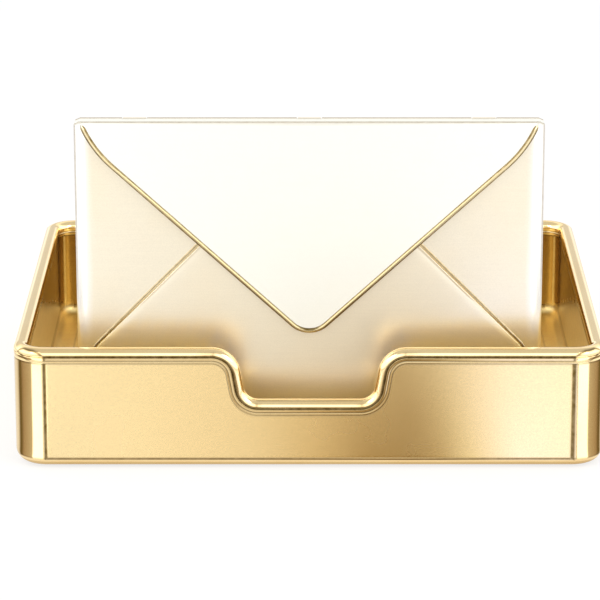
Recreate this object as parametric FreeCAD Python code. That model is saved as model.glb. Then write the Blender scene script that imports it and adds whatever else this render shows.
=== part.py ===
"""Desk letter tray in polished brass with an upright pearl envelope.

Millimetres, +Z up. The origin lies on the desk under the middle of the tray, the
notched front wall faces -Y and +X is to the right. The tray is double walled: a
pressed outer shell, a drawn inner tub, and a round rim moulding that caps both and
dips through the notch. The envelope stands in a channel behind the front wall and
lifts out of it, and its flap turns on a pin along the top edge of its back panel.
"""
import FreeCAD, Part
import math
import os
from collections import namedtuple

from FreeCAD import Rotation, Vector

# ---- Tray -------------------------------------------------------------------
TRAY_WIDTH = 205.0          # over the rim bead, left to right
TRAY_LENGTH = 172.3         # over the rim bead, front to back
TRAY_HEIGHT = 43.5          # desk to the top of the rim bead
CORNER_RADIUS = 11.5        # plan radius of the bead's outer side
RIM_RADIUS = 2.6            # round bead of the rim moulding
RIM_DEPTH = 5.2             # top of the bead down to its joint with the walls
RIM_TONGUE = 3.0            # moulding's tongue below that joint, between the skins
RIM_GROOVE = 0.3            # fine groove along the joint, on the outside
WALL_THICKNESS = 4.8        # over both skins
SKIN = 1.0                  # sheet of the shell and the tub
FIT = 0.1                   # assembly clearance of pieces that do not move
FOOT_RADIUS = 4.7           # shell's outer radius from wall to underside
FLANGE_WIDTH = 13.0         # shell's turned-in flange, from its outer face
TUB_RADIUS = 3.8            # tub's inner radius from wall to floor
FLOOR_HEIGHT = 6.8          # desk to the tub's floor

# ---- Notch in the front wall ------------------------------------------------
NOTCH_DROP = 18.6           # how far the bead dips
NOTCH_FLAT = 35.2           # level part of the bead in the notch
NOTCH_BEND = 7.6            # radius of both bends, along the bead's middle
NOTCH_SWEEP = 80.0          # degrees turned by each bend

# ---- Underside --------------------------------------------------------------
SHELL_GAP = 0.5             # desk to the shell's underside
PLATE_THICKNESS = 1.0
PAD_RADIUS = 7.0
PAD_INSET = 27.0            # pad centre from the tray's sides
SCREW_RADIUS = 1.4
SCREW_HEAD_RADIUS = 2.7
SCREW_HEAD_HEIGHT = 1.1
SCREW_INSET = 46.0          # screw centre from the tray's front and back
SCREW_SPACING = 92.0
SCREW_COLUMNS = 2
STANDOFF_RADIUS = 3.0

# ---- Channel that holds the envelope ----------------------------------------
CHANNEL_LENGTH = 140.0
CHANNEL_SHEET = 1.0
CHANNEL_FRONT_LIP = 9.5     # above the tub's floor
CHANNEL_REAR_LIP = 15.0
CHANNEL_BEND = 0.5          # inner bend radius
CHANNEL_FLARE = 24.0        # degrees that each lip's edge leans away
CHANNEL_FLARE_RUN = 1.6
STUD_RADIUS = 1.5
STUD_LENGTH = 3.5
STUD_SPACING = 52.0
STUD_COUNT = 3
NUT_FLATS = 5.5
NUT_HEIGHT = 2.0

# ---- Envelope ---------------------------------------------------------------
ENVELOPE_WIDTH = 162.0
ENVELOPE_TOP = 119.5        # desk to the fold along its top
ENVELOPE_SETBACK = 17.5     # tray's front to the flap's face
ENVELOPE_SHEET = 0.6        # side and bottom flaps
BACK_SHEET = 0.7
BACK_EDGE_SHARE = 0.8       # back panel's edge rounding, as a share of its sheet
POCKET_DEPTH = 4.4
SIDE_RADIUS = 4.2           # rounded upright edges
FOLD_RADIUS = 1.2           # outer radius of the bottom fold
RUNNING_GAP = 0.3           # between pieces that move past each other
POCKET_HALF_WIDTH = 75.2    # bottom flap from the middle to its upright edge
POCKET_SIDE_HEIGHT = 24.6   # bottom flap's upright edge
POCKET_HEIGHT = 80.0        # bottom flap's level top, hidden by the flap
POCKET_BEND = 8.7           # seam's bend beside the upright edge
POCKET_TOP_BEND = 9.0       # seam's bend into the level top
SEAM_ANGLE = 45.3           # seam above the horizontal
SEAM_WIDTH = 1.3            # D-shaped seam piping
SIDE_TIP_REACH = 20.0       # side flap's tip from the middle
SIDE_TIP_HEIGHT = 56.0      # that tip above the envelope's bottom
SIDE_TIP_RADIUS = 5.0
SIDE_FOOT_WIDTH = 15.0      # side flap's front at the bottom

# ---- Flap and its hinge -----------------------------------------------------
FLAP_WIDTH = 160.6
FLAP_SHEET = 0.8
FLAP_HEIGHT = 75.4          # fold down to the tip
FLAP_ANGLE = 42.4           # flap's edge above the horizontal
FLAP_TIP_RADIUS = 9.5
FLAP_SHOULDER_TURN = 27.0   # degrees turned by the shoulders
FLAP_SHOULDER_REACH = 79.4  # outline's end at the fold, from the middle
FLAP_CORNER_RADIUS = 1.7
FLAP_EDGE_RADIUS = 0.35
PIPING_RADIUS = 0.95
ROLL_RADIUS = 1.1
PIN_RADIUS = 0.45
PIN_CLEARANCE = 0.05
KNUCKLE_LENGTH = 8.0
KNUCKLE_SPACING = 60.0
KNUCKLE_COUNT = 3

# ---- Places that follow from the sizes above --------------------------------
TINY = 1e-4
MARGIN = 2.0                # how far a cutter runs past what it cuts
X, Y, Z = Vector(1, 0, 0), Vector(0, 1, 0), Vector(0, 0, 1)
FRONT = -TRAY_LENGTH / 2
PROUD = RIM_RADIUS - WALL_THICKNESS / 2
BODY_WIDTH = TRAY_WIDTH - 2 * PROUD
BODY_LENGTH = TRAY_LENGTH - 2 * PROUD
BODY_CORNER = CORNER_RADIUS - PROUD
WALL_TOP = TRAY_HEIGHT - RIM_DEPTH
PLATE_BOTTOM = SHELL_GAP + SKIN
PLATE_TOP = PLATE_BOTTOM + PLATE_THICKNESS
FLOOR_BOTTOM = FLOOR_HEIGHT - SKIN

FLAP_FRONT = FRONT + ENVELOPE_SETBACK
FLAP_MIDDLE = FLAP_FRONT + FLAP_SHEET / 2
FLAP_BACK = FLAP_FRONT + FLAP_SHEET
POCKET_FRONT = FLAP_MIDDLE + PIPING_RADIUS + RUNNING_GAP
SIDE_FRONT = POCKET_FRONT + ENVELOPE_SHEET
SIDE_BACK = SIDE_FRONT + ENVELOPE_SHEET
PANEL_FRONT = SIDE_BACK + POCKET_DEPTH
PANEL_BACK = PANEL_FRONT + BACK_SHEET
ENVELOPE_BOTTOM = FLOOR_HEIGHT + CHANNEL_SHEET + RUNNING_GAP
SIDE_TOP = ENVELOPE_TOP - FLAP_SHEET - RUNNING_GAP
HINGE_Y = PANEL_BACK - ROLL_RADIUS
HINGE_Z = ENVELOPE_TOP - ROLL_RADIUS
PANEL_TOP = HINGE_Z - ROLL_RADIUS - RUNNING_GAP

Run = namedtuple("Run", "length")
Bend = namedtuple("Bend", "axis radius angle")


# ---- Shared forms -----------------------------------------------------------
def save(shape, name):
    """Write one sub-part under its own name."""
    shape.exportStep("parts/%s.step" % name)


def mirrored(shape):
    """Return the same piece on the other side of the middle plane."""
    return shape.mirror(Vector(0, 0, 0), X)


def fused(solids):
    """Join solids that meet face to face and drop the seams between them."""
    return solids[0].multiFuse(solids[1:]).removeSplitter()


def pan_block(width, length, corner, bottom, top, foot=0.0):
    """Make a block with rounded uprights and, if asked, a rounded foot."""
    block = Part.makeBox(width, length, top - bottom, Vector(-width / 2, -length / 2, bottom))
    uprights = [edge for edge in block.Edges if edge.BoundBox.ZLength > TINY]
    block = block.makeFillet(corner, uprights)
    if foot > 0:
        base = [edge for edge in block.Edges if edge.BoundBox.ZMax < bottom + TINY]
        block = block.makeFillet(foot, base)
    return block


def pan(width, length, corner, bottom, top, foot, sheet):
    """Make an open pan of one sheet, with its floor at the bottom."""
    outer = pan_block(width, length, corner, bottom, top, foot)
    inner = pan_block(width - 2 * sheet, length - 2 * sheet, corner - sheet,
                      bottom + sheet, top + MARGIN, foot - sheet)
    return outer.cut(inner)


def turn_centre(point, heading, bend):
    """Return the middle of a bend that starts at a point with a heading."""
    return point + bend.axis.cross(heading) * bend.radius


def trace(point, heading, steps):
    """Draw a path of runs and tangent bends; return its edges and its end."""
    edges = []
    for step in steps:
        if isinstance(step, Run):
            end = point + heading * step.length
            edges.append(Part.makeLine(point, end))
        else:
            centre = turn_centre(point, heading, step)
            arm = point - centre
            middle = centre + Rotation(step.axis, step.angle / 2).multVec(arm)
            end = centre + Rotation(step.axis, step.angle).multVec(arm)
            edges.append(Part.Arc(point, middle, end).toShape())
            heading = Rotation(step.axis, step.angle).multVec(heading)
        point = end
    return edges, point


def follow(section, point, heading, steps):
    """Carry a section face along a path of runs and bends; return its solids."""
    solids = []
    for step in steps:
        if isinstance(step, Run):
            solids.append(section.extrude(heading * step.length))
            section = section.translated(heading * step.length)
            point = point + heading * step.length
        else:
            centre = turn_centre(point, heading, step)
            solids.append(section.revolve(centre, step.axis, step.angle))
            section = section.rotated(centre, step.axis, step.angle)
            turn = Rotation(step.axis, step.angle)
            point = centre + turn.multVec(point - centre)
            heading = turn.multVec(heading)
    return solids


def closed_face(edges, *corners):
    """Close a traced path through the given corners and fill it."""
    first, last = edges[0].Vertexes[0].Point, edges[-1].Vertexes[-1].Point
    stops = [last] + list(corners) + [first]
    closing = [Part.makeLine(a, b) for a, b in zip(stops, stops[1:]) if a.distanceToPoint(b) > TINY]
    return Part.Face(Part.Wire(Part.__sortEdges__(edges + closing)))


def spread(count, spacing):
    """Return evenly spaced places about the middle."""
    return [(index - (count - 1) / 2) * spacing for index in range(count)]


# ---- Tray -------------------------------------------------------------------
def notch_steps(below=0.0):
    """Give the notch's path from its middle, at a depth below the bead's middle."""
    turn = math.radians(NOTCH_SWEEP)
    straight = (NOTCH_DROP - 2 * NOTCH_BEND * (1 - math.cos(turn))) / math.sin(turn)
    return [Run(NOTCH_FLAT / 2), Bend(-Y, NOTCH_BEND + below, NOTCH_SWEEP),
            Run(straight), Bend(Y, NOTCH_BEND - below, NOTCH_SWEEP)]


def notch_start(below=0.0):
    """Return the bead's middle, or a point below it, in the middle of the notch."""
    return Vector(0, FRONT + RIM_RADIUS, TRAY_HEIGHT - RIM_RADIUS - NOTCH_DROP - below)


def rim_section():
    """Draw the moulding's section: a round bead, a collar and a hidden tongue."""
    half, collar = WALL_THICKNESS / 2, RIM_RADIUS - RIM_DEPTH
    tongue = half - SKIN - FIT
    crease = -math.sqrt(RIM_RADIUS ** 2 - half ** 2)
    outline = [(half, crease), (half, collar), (tongue, collar), (tongue, collar - RIM_TONGUE),
               (-tongue, collar - RIM_TONGUE), (-tongue, collar), (RIM_GROOVE - half, collar),
               (-half, collar + RIM_GROOVE), (-half, crease)]
    centre = notch_start()
    points = [centre + Y * across + Z * up for across, up in outline]
    bead = Part.Arc(points[-1], centre + Z * RIM_RADIUS, points[0]).toShape()
    sides = [Part.makeLine(a, b) for a, b in zip(points, points[1:])]
    return Part.Face(Part.Wire(sides + [bead]))


def rim_moulding():
    """Carry the section round the whole rim, down and up through the notch."""
    notch = notch_steps()
    reach = trace(notch_start(), X, notch)[1].x
    corner = Bend(Z, CORNER_RADIUS - RIM_RADIUS, 90)
    steps = notch + [Run(TRAY_WIDTH / 2 - CORNER_RADIUS - reach), corner,
                     Run(TRAY_LENGTH - 2 * CORNER_RADIUS), corner,
                     Run(TRAY_WIDTH / 2 - CORNER_RADIUS)]
    right = follow(rim_section(), notch_start(), X, steps)
    return fused(right + [mirrored(solid) for solid in right])


def notch_cutter():
    """Make the space above the joint line of the notch, through the front wall."""
    below = RIM_DEPTH - RIM_RADIUS
    edges, end = trace(notch_start(below), X, notch_steps(below))
    high = Vector(end.x, end.y, WALL_TOP + MARGIN)
    face = closed_face(edges, high, Vector(0, end.y, high.z))
    depth = WALL_THICKNESS + 2 * MARGIN
    right = face.translated(Y * -(RIM_RADIUS + MARGIN)).extrude(Y * depth)
    return fused([right, mirrored(right)])


def outer_shell():
    """Press the outer walls, their rounded foot and the flange that turns in."""
    shell = pan(BODY_WIDTH, BODY_LENGTH, BODY_CORNER, SHELL_GAP, WALL_TOP, FOOT_RADIUS, SKIN)
    opening = pan_block(BODY_WIDTH - 2 * FLANGE_WIDTH, BODY_LENGTH - 2 * FLANGE_WIDTH,
                        BODY_CORNER, 0, PLATE_TOP)
    return shell.cut(opening).cut(notch_cutter())


def inner_tub():
    """Draw the tub: floor, inner walls, and holes for the channel's studs."""
    inset = WALL_THICKNESS - SKIN
    tub = pan(BODY_WIDTH - 2 * inset, BODY_LENGTH - 2 * inset, BODY_CORNER - inset,
              FLOOR_BOTTOM, WALL_TOP, TUB_RADIUS + SKIN, SKIN)
    holes = [Part.makeCylinder(STUD_RADIUS + FIT, SKIN + 2 * MARGIN,
                               Vector(x, channel_middle(), FLOOR_BOTTOM - MARGIN))
             for x in spread(STUD_COUNT, STUD_SPACING)]
    return tub.cut(notch_cutter()).cut(holes)


def screw_places():
    """List the screws' places: a row near the front and a row near the back."""
    rows = (FRONT + SCREW_INSET, -FRONT - SCREW_INSET)
    return [Vector(x, y, 0) for y in rows for x in spread(SCREW_COLUMNS, SCREW_SPACING)]


def base_plate():
    """Cut the plate that lies on the flange and closes the underside."""
    inset = FOOT_RADIUS + RUNNING_GAP
    plate = pan_block(BODY_WIDTH - 2 * inset, BODY_LENGTH - 2 * inset, BODY_CORNER - SKIN,
                      PLATE_BOTTOM, PLATE_TOP)
    holes = [Part.makeCylinder(SCREW_RADIUS + FIT, PLATE_THICKNESS + 2 * MARGIN,
                               place + Z * (PLATE_BOTTOM - MARGIN)) for place in screw_places()]
    return plate.cut(holes)


def standoffs():
    """Turn the threaded pillars between the plate and the tub's floor."""
    height = FLOOR_BOTTOM - PLATE_TOP
    pillars = []
    for place in screw_places():
        pillar = Part.makeCylinder(STANDOFF_RADIUS, height, place + Z * PLATE_TOP)
        bore = Part.makeCylinder(SCREW_RADIUS + FIT, height, place + Z * PLATE_TOP)
        pillars.append(pillar.cut(bore))
    return Part.makeCompound(pillars)


def base_screw():
    """Turn one screw, pointing up, with a flat round head."""
    head = Part.makeCylinder(SCREW_HEAD_RADIUS, SCREW_HEAD_HEIGHT, -Z * SCREW_HEAD_HEIGHT)
    reach = FLOOR_BOTTOM - PLATE_BOTTOM - RUNNING_GAP
    return fused([head, Part.makeCylinder(SCREW_RADIUS, reach)])


def base_screws():
    """Place the screws that hold the plate to the pillars."""
    screw = base_screw()
    return Part.makeCompound([screw.translated(place + Z * PLATE_BOTTOM) for place in screw_places()])


def foot_pad(side, end):
    """Cut one soft pad, stuck under the plate near a corner."""
    place = Vector(side * (TRAY_WIDTH / 2 - PAD_INSET), end * (TRAY_LENGTH / 2 - PAD_INSET), 0)
    return Part.makeCylinder(PAD_RADIUS, PLATE_BOTTOM, place)


# ---- Channel ----------------------------------------------------------------
def channel_middle():
    """Return the middle of the channel, front to back."""
    return (POCKET_FRONT + PANEL_BACK) / 2


def envelope_channel():
    """Fold the channel from one strip: flared front lip, base, flared rear lip."""
    clear = PANEL_BACK - POCKET_FRONT + 2 * RUNNING_GAP
    bend = Bend(X, CHANNEL_BEND + CHANNEL_SHEET / 2, 90)
    flare = math.radians(CHANNEL_FLARE)
    flare_radius = 2 * CHANNEL_SHEET
    flare_rise = CHANNEL_FLARE_RUN * math.cos(flare) + flare_radius * math.sin(flare)
    corner = CHANNEL_BEND + CHANNEL_SHEET
    base = Run(clear - 2 * CHANNEL_BEND)
    half = X * (CHANNEL_LENGTH / 2)
    low = Vector(0, POCKET_FRONT - RUNNING_GAP, FLOOR_HEIGHT + corner)
    across = -Y * CHANNEL_SHEET
    section = Part.Face(Part.makePolygon([low - half, low + half, low + half + across,
                                          low - half + across, low - half]))
    middle = low + across * 0.5
    front = [Run(CHANNEL_FRONT_LIP - corner - flare_rise), Bend(X, flare_radius, CHANNEL_FLARE),
             Run(CHANNEL_FLARE_RUN)]
    rear = [bend, base, bend, Run(CHANNEL_REAR_LIP - corner - flare_rise),
            Bend(-X, flare_radius, CHANNEL_FLARE), Run(CHANNEL_FLARE_RUN)]
    return fused(follow(section, middle, Z, front) + follow(section, middle, -Z, rear))


def channel_studs():
    """Turn the studs under the channel, through the tub's floor."""
    return Part.makeCompound([
        Part.makeCylinder(STUD_RADIUS, STUD_LENGTH, Vector(x, channel_middle(), FLOOR_HEIGHT), -Z)
        for x in spread(STUD_COUNT, STUD_SPACING)])


def channel_nuts():
    """Cut the hexagon nuts that clamp the channel from below the floor."""
    corner = NUT_FLATS / 2 / math.cos(math.radians(30))
    ring = [Rotation(Z, 60 * index).multVec(X * corner) for index in range(7)]
    bore = Part.makeCylinder(STUD_RADIUS + PIN_CLEARANCE, NUT_HEIGHT)
    nut = Part.Face(Part.makePolygon(ring)).extrude(Z * NUT_HEIGHT).cut(bore)
    return Part.makeCompound([nut.translated(Vector(x, channel_middle(), FLOOR_BOTTOM - NUT_HEIGHT))
                              for x in spread(STUD_COUNT, STUD_SPACING)])


# ---- Envelope ---------------------------------------------------------------
def knuckle(length, bore_radius, x):
    """Turn one hinge knuckle about the pin's axis."""
    start = Vector(x - length / 2, HINGE_Y, HINGE_Z)
    return Part.makeCylinder(ROLL_RADIUS, length, start, X).cut(
        Part.makeCylinder(bore_radius, length, start, X))


def back_panel():
    """Cut the back panel, with rounded side and bottom edges and its hinge knuckles."""
    low = Vector(-ENVELOPE_WIDTH / 2, PANEL_FRONT, ENVELOPE_BOTTOM)
    panel = Part.makeBox(ENVELOPE_WIDTH, BACK_SHEET, PANEL_TOP - ENVELOPE_BOTTOM, low)
    behind = [edge for edge in panel.Edges
              if edge.BoundBox.YMin > PANEL_BACK - TINY and edge.BoundBox.ZMin < PANEL_TOP - TINY]
    solids = [panel.makeFillet(BACK_SHEET * BACK_EDGE_SHARE, behind)]
    bore = Part.makeCylinder(PIN_RADIUS + PIN_CLEARANCE, ENVELOPE_WIDTH,
                             Vector(-ENVELOPE_WIDTH / 2, HINGE_Y, HINGE_Z), X)
    for x in spread(KNUCKLE_COUNT, KNUCKLE_SPACING):
        web = Part.makeBox(KNUCKLE_LENGTH, BACK_SHEET, HINGE_Z - PANEL_TOP,
                           Vector(x - KNUCKLE_LENGTH / 2, PANEL_FRONT, PANEL_TOP))
        solids += [web, knuckle(KNUCKLE_LENGTH, PIN_RADIUS + PIN_CLEARANCE, x)]
    return fused(solids).cut(bore)


def side_flap():
    """Fold the right side flap: side wall, rounded edge and pointed front."""
    outside, inside = ENVELOPE_WIDTH / 2, ENVELOPE_WIDTH / 2 - ENVELOPE_SHEET
    low, high = Z * ENVELOPE_BOTTOM, Z * SIDE_TOP
    start = Y * PANEL_FRONT
    corners = [X * outside + low, X * inside + low, X * inside + high, X * outside + high]
    section = Part.Face(Part.makePolygon([start + corner for corner in corners + corners[:1]]))
    middle = start + X * (outside - ENVELOPE_SHEET / 2)
    wall = Run(PANEL_FRONT - SIDE_FRONT - SIDE_RADIUS)
    edge = Bend(-Z, SIDE_RADIUS - ENVELOPE_SHEET / 2, 90)
    flap = fused(follow(section, middle, -Y, [wall, edge]) + [side_front()])
    return flap.cut(Part.makeCylinder(ROLL_RADIUS + RUNNING_GAP, ENVELOPE_WIDTH,
                                      Vector(0, HINGE_Y, HINGE_Z), X))


def side_front():
    """Cut the side flap's front, a blunt triangle pointing to the middle."""
    edge = ENVELOPE_WIDTH / 2 - SIDE_RADIUS
    tip = Vector(SIDE_TIP_REACH, SIDE_FRONT, ENVELOPE_BOTTOM + SIDE_TIP_HEIGHT)
    foot = ENVELOPE_BOTTOM + FOLD_RADIUS + RUNNING_GAP
    corners = [Vector(edge, SIDE_FRONT, foot), Vector(edge, SIDE_FRONT, SIDE_TOP), tip,
               Vector(edge - SIDE_FOOT_WIDTH, SIDE_FRONT, foot)]
    front = Part.Face(Part.makePolygon(corners + corners[:1])).extrude(Y * ENVELOPE_SHEET)
    point = [line for line in front.Edges
             if line.BoundBox.XMax < SIDE_TIP_REACH + TINY and line.BoundBox.YLength > TINY]
    return front.makeFillet(SIDE_TIP_RADIUS, point)


def pocket_steps(outside=0.0):
    """Give the bottom flap's edge upwards, or a line a little outside it."""
    low = ENVELOPE_BOTTOM + FOLD_RADIUS
    turn, rest = 90 - SEAM_ANGLE, SEAM_ANGLE
    rise = (POCKET_HEIGHT + ENVELOPE_BOTTOM - low - POCKET_SIDE_HEIGHT
            - POCKET_BEND * math.sin(math.radians(turn))
            - POCKET_TOP_BEND * (1 - math.cos(math.radians(rest))))
    return [Run(POCKET_SIDE_HEIGHT), Bend(-Y, POCKET_BEND + outside, turn),
            Run(rise / math.sin(math.radians(rest))), Bend(-Y, POCKET_TOP_BEND + outside, rest)]


def bottom_flap():
    """Fold the bottom flap: the level gusset, the fold and the tall front."""
    low = ENVELOPE_BOTTOM + FOLD_RADIUS
    half = X * POCKET_HALF_WIDTH
    edges, end = trace(Vector(POCKET_HALF_WIDTH, POCKET_FRONT, low), Z, pocket_steps())
    face = closed_face(edges, Vector(0, end.y, end.z), Vector(0, end.y, low))
    front = face.extrude(Y * ENVELOPE_SHEET)
    start = Vector(0, POCKET_FRONT, low)
    across = Y * ENVELOPE_SHEET
    section = Part.Face(Part.makePolygon([start - half, start + half, start + half + across,
                                          start - half + across, start - half]))
    fold = Bend(X, FOLD_RADIUS - ENVELOPE_SHEET / 2, 90)
    gusset = Run(PANEL_FRONT - POCKET_FRONT - FOLD_RADIUS)
    folded = follow(section, start + across * 0.5, -Z, [fold, gusset])
    return fused([front, mirrored(front)] + folded)


def seam_piping():
    """Carry a D-shaped section up the bottom flap's right edge and its seam."""
    start = Vector(POCKET_HALF_WIDTH, SIDE_FRONT, ENVELOPE_BOTTOM + FOLD_RADIUS + RUNNING_GAP)
    crest = start + X * (SEAM_WIDTH / 2) - Y * ENVELOPE_SHEET
    end = start + X * SEAM_WIDTH
    section = Part.Face(Part.Wire([Part.Arc(start, crest, end).toShape(), Part.makeLine(end, start)]))
    upright, bend, seam, _ = pocket_steps()
    steps = [Run(upright.length - RUNNING_GAP), bend, seam]
    return fused(follow(section, start, Z, steps))


def hinge_pin():
    """Turn the pin that runs through every knuckle."""
    length = FLAP_WIDTH - 2 * FLAP_CORNER_RADIUS
    return Part.makeCylinder(PIN_RADIUS, length, Vector(-length / 2, HINGE_Y, HINGE_Z), X)


# ---- Flap -------------------------------------------------------------------
def flap_steps(inside=0.0):
    """Give the flap's outline from its tip, or a line a little inside it.

    The straight edge and the shoulder's radius are what is left once the tip, the
    shoulder's turn and the outline's end at the fold are set.
    """
    lean, top = math.radians(FLAP_ANGLE), math.radians(FLAP_ANGLE + FLAP_SHOULDER_TURN)
    rise = FLAP_HEIGHT - FLAP_TIP_RADIUS * (1 - math.cos(lean))
    reach = FLAP_SHOULDER_REACH - FLAP_TIP_RADIUS * math.sin(lean)
    up, out = math.cos(lean) - math.cos(top), math.sin(top) - math.sin(lean)
    shoulder = (rise * math.cos(lean) - reach * math.sin(lean)) / (
        up * math.cos(lean) - out * math.sin(lean))
    straight = (rise - shoulder * up) / math.sin(lean)
    return [Bend(-Y, FLAP_TIP_RADIUS - inside, FLAP_ANGLE), Run(straight),
            Bend(-Y, shoulder - inside, FLAP_SHOULDER_TURN), Run(FLAP_CORNER_RADIUS)]


def flap_bounds():
    """Make the space that the flap's pieces keep to, with its rounded top corners."""
    depth = PANEL_BACK - FLAP_FRONT + 2 * MARGIN
    low = Vector(-FLAP_WIDTH / 2, FLAP_FRONT - MARGIN, ENVELOPE_BOTTOM)
    space = Part.makeBox(FLAP_WIDTH, depth, ENVELOPE_TOP - ENVELOPE_BOTTOM, low)
    shoulders = [edge for edge in space.Edges
                 if edge.BoundBox.ZMin > ENVELOPE_TOP - TINY and edge.BoundBox.YLength > TINY]
    return space.makeFillet(FLAP_CORNER_RADIUS, shoulders)


def flap_panel():
    """Cut the pointed front of the flap, its edge held in the piping's slot."""
    tip = Vector(0, FLAP_FRONT, ENVELOPE_TOP - FLAP_HEIGHT + PIPING_RADIUS)
    edges, end = trace(tip, X, flap_steps(PIPING_RADIUS))
    right = closed_face(edges, Vector(0, end.y, end.z)).extrude(Y * FLAP_SHEET)
    panel = fused([right, mirrored(right)]).common(flap_bounds())
    fold = [edge for edge in panel.Edges
            if edge.BoundBox.ZMin > ENVELOPE_TOP - TINY and edge.BoundBox.YMax < FLAP_FRONT + TINY]
    return panel.makeFillet(FLAP_EDGE_RADIUS, fold)


def flap_piping():
    """Carry a slotted round section round the flap's edge."""
    tip = Vector(0, FLAP_MIDDLE, ENVELOPE_TOP - FLAP_HEIGHT + PIPING_RADIUS)
    disc = Part.Face(Part.Wire(Part.makeCircle(PIPING_RADIUS, tip, X)))
    back, rise = FLAP_SHEET / 2, PIPING_RADIUS + TINY
    corners = [tip + Y * across + Z * up
               for across, up in ((-back, 0), (back, 0), (back, rise), (-back, rise))]
    section = disc.cut(Part.Face(Part.makePolygon(corners + corners[:1]))).Faces[0]
    right = follow(section, tip, X, flap_steps(PIPING_RADIUS))
    piping = fused(right + [mirrored(solid) for solid in right]).common(flap_bounds())
    return piping.cut(flap_strip())


def flap_strip():
    """Make the level strip behind the fold, from the flap's front to the hinge."""
    low = Vector(-FLAP_WIDTH / 2, FLAP_BACK, ENVELOPE_TOP - FLAP_SHEET)
    return Part.makeBox(FLAP_WIDTH, HINGE_Y - FLAP_BACK, FLAP_SHEET, low)


def flap_spine():
    """Roll the strip's back edge round the pin and clear the fixed knuckles."""
    end = Vector(-FLAP_WIDTH / 2, HINGE_Y, HINGE_Z)
    roll = Part.makeCylinder(ROLL_RADIUS, FLAP_WIDTH, end, X)
    spine = fused([flap_strip(), roll]).common(flap_bounds())
    cutters = [Part.makeCylinder(PIN_RADIUS + PIN_CLEARANCE, FLAP_WIDTH, end, X)]
    length, swing = KNUCKLE_LENGTH + 2 * RUNNING_GAP, ROLL_RADIUS + RUNNING_GAP
    for x in spread(KNUCKLE_COUNT, KNUCKLE_SPACING):
        start = Vector(x - length / 2, HINGE_Y, HINGE_Z)
        cutters += [Part.makeCylinder(swing, length, start, X),
                    Part.makeBox(length, swing, swing, start - Y * swing)]
    return spine.cut(cutters)


def main():
    """Build every sub-part and write it."""
    os.makedirs("parts", exist_ok=True)
    save(outer_shell(), "outer_shell")
    save(inner_tub(), "inner_tub")
    save(rim_moulding(), "rim_moulding")
    save(base_plate(), "base_plate")
    save(standoffs(), "standoffs")
    save(base_screws(), "base_screws")
    for end, row in ((-1, "front"), (1, "back")):
        for side, hand in ((-1, "left"), (1, "right")):
            save(foot_pad(side, end), "foot_pad_%s_%s" % (row, hand))
    save(envelope_channel(), "envelope_channel")
    save(channel_studs(), "channel_studs")
    save(channel_nuts(), "channel_nuts")
    save(back_panel(), "back_panel")
    save(side_flap(), "side_flap_right")
    save(mirrored(side_flap()), "side_flap_left")
    save(bottom_flap(), "bottom_flap")
    save(seam_piping(), "seam_piping_right")
    save(mirrored(seam_piping()), "seam_piping_left")
    save(hinge_pin(), "hinge_pin")
    save(flap_panel(), "flap_panel")
    save(flap_piping(), "flap_piping")
    save(flap_spine(), "flap_spine")


main()
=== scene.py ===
"""Looks of a desk letter tray in polished brass with an upright pearl envelope.

Metres, +Z up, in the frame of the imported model: the notched front wall faces -Y and
+X is to the right. Each sub-assembly is a class that holds its own sizes, works its
surfaces out as numpy grids and dresses them in a procedural finish.
"""

import logging
from dataclasses import dataclass, field
from enum import Enum
from typing import ClassVar

import bpy
import numpy as np
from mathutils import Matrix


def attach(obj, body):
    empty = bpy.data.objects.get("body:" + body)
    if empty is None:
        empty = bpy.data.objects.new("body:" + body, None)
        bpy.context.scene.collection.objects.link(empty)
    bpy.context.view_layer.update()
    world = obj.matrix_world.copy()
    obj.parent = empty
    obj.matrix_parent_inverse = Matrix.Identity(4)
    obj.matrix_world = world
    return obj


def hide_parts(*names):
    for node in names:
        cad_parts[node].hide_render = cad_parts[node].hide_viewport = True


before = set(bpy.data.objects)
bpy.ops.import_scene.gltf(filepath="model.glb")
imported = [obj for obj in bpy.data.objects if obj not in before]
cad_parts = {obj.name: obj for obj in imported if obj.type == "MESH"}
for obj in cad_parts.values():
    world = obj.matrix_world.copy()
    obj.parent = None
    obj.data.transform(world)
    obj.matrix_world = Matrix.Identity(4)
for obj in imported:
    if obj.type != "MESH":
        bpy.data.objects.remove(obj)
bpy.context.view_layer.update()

MM = 1e-3
Array = np.ndarray
AXIS_X, AXIS_Y, AXIS_Z = np.eye(3)
log = logging.getLogger("letter_tray")


# ---- Surfaces -------------------------------------------------------------------
def turned(vectors: Array, axis: Array, angles: Array) -> Array:
    """Turn vectors about an axis.

    Each result is v cos(a) + (k x v) sin(a) + k (k . v) (1 - cos(a)), for axis k.

    Args:
        vectors: One vector, or one per angle.
        axis: Unit axis of the turn.
        angles: Angles in radians, one per result.

    Returns:
        One turned vector per angle.
    """
    cosine, sine = np.cos(angles)[:, None], np.sin(angles)[:, None]
    along = np.atleast_2d(vectors @ axis).reshape(-1, 1) * axis
    return vectors * cosine + np.cross(axis, vectors) * sine + along * (1 - cosine)


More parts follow.
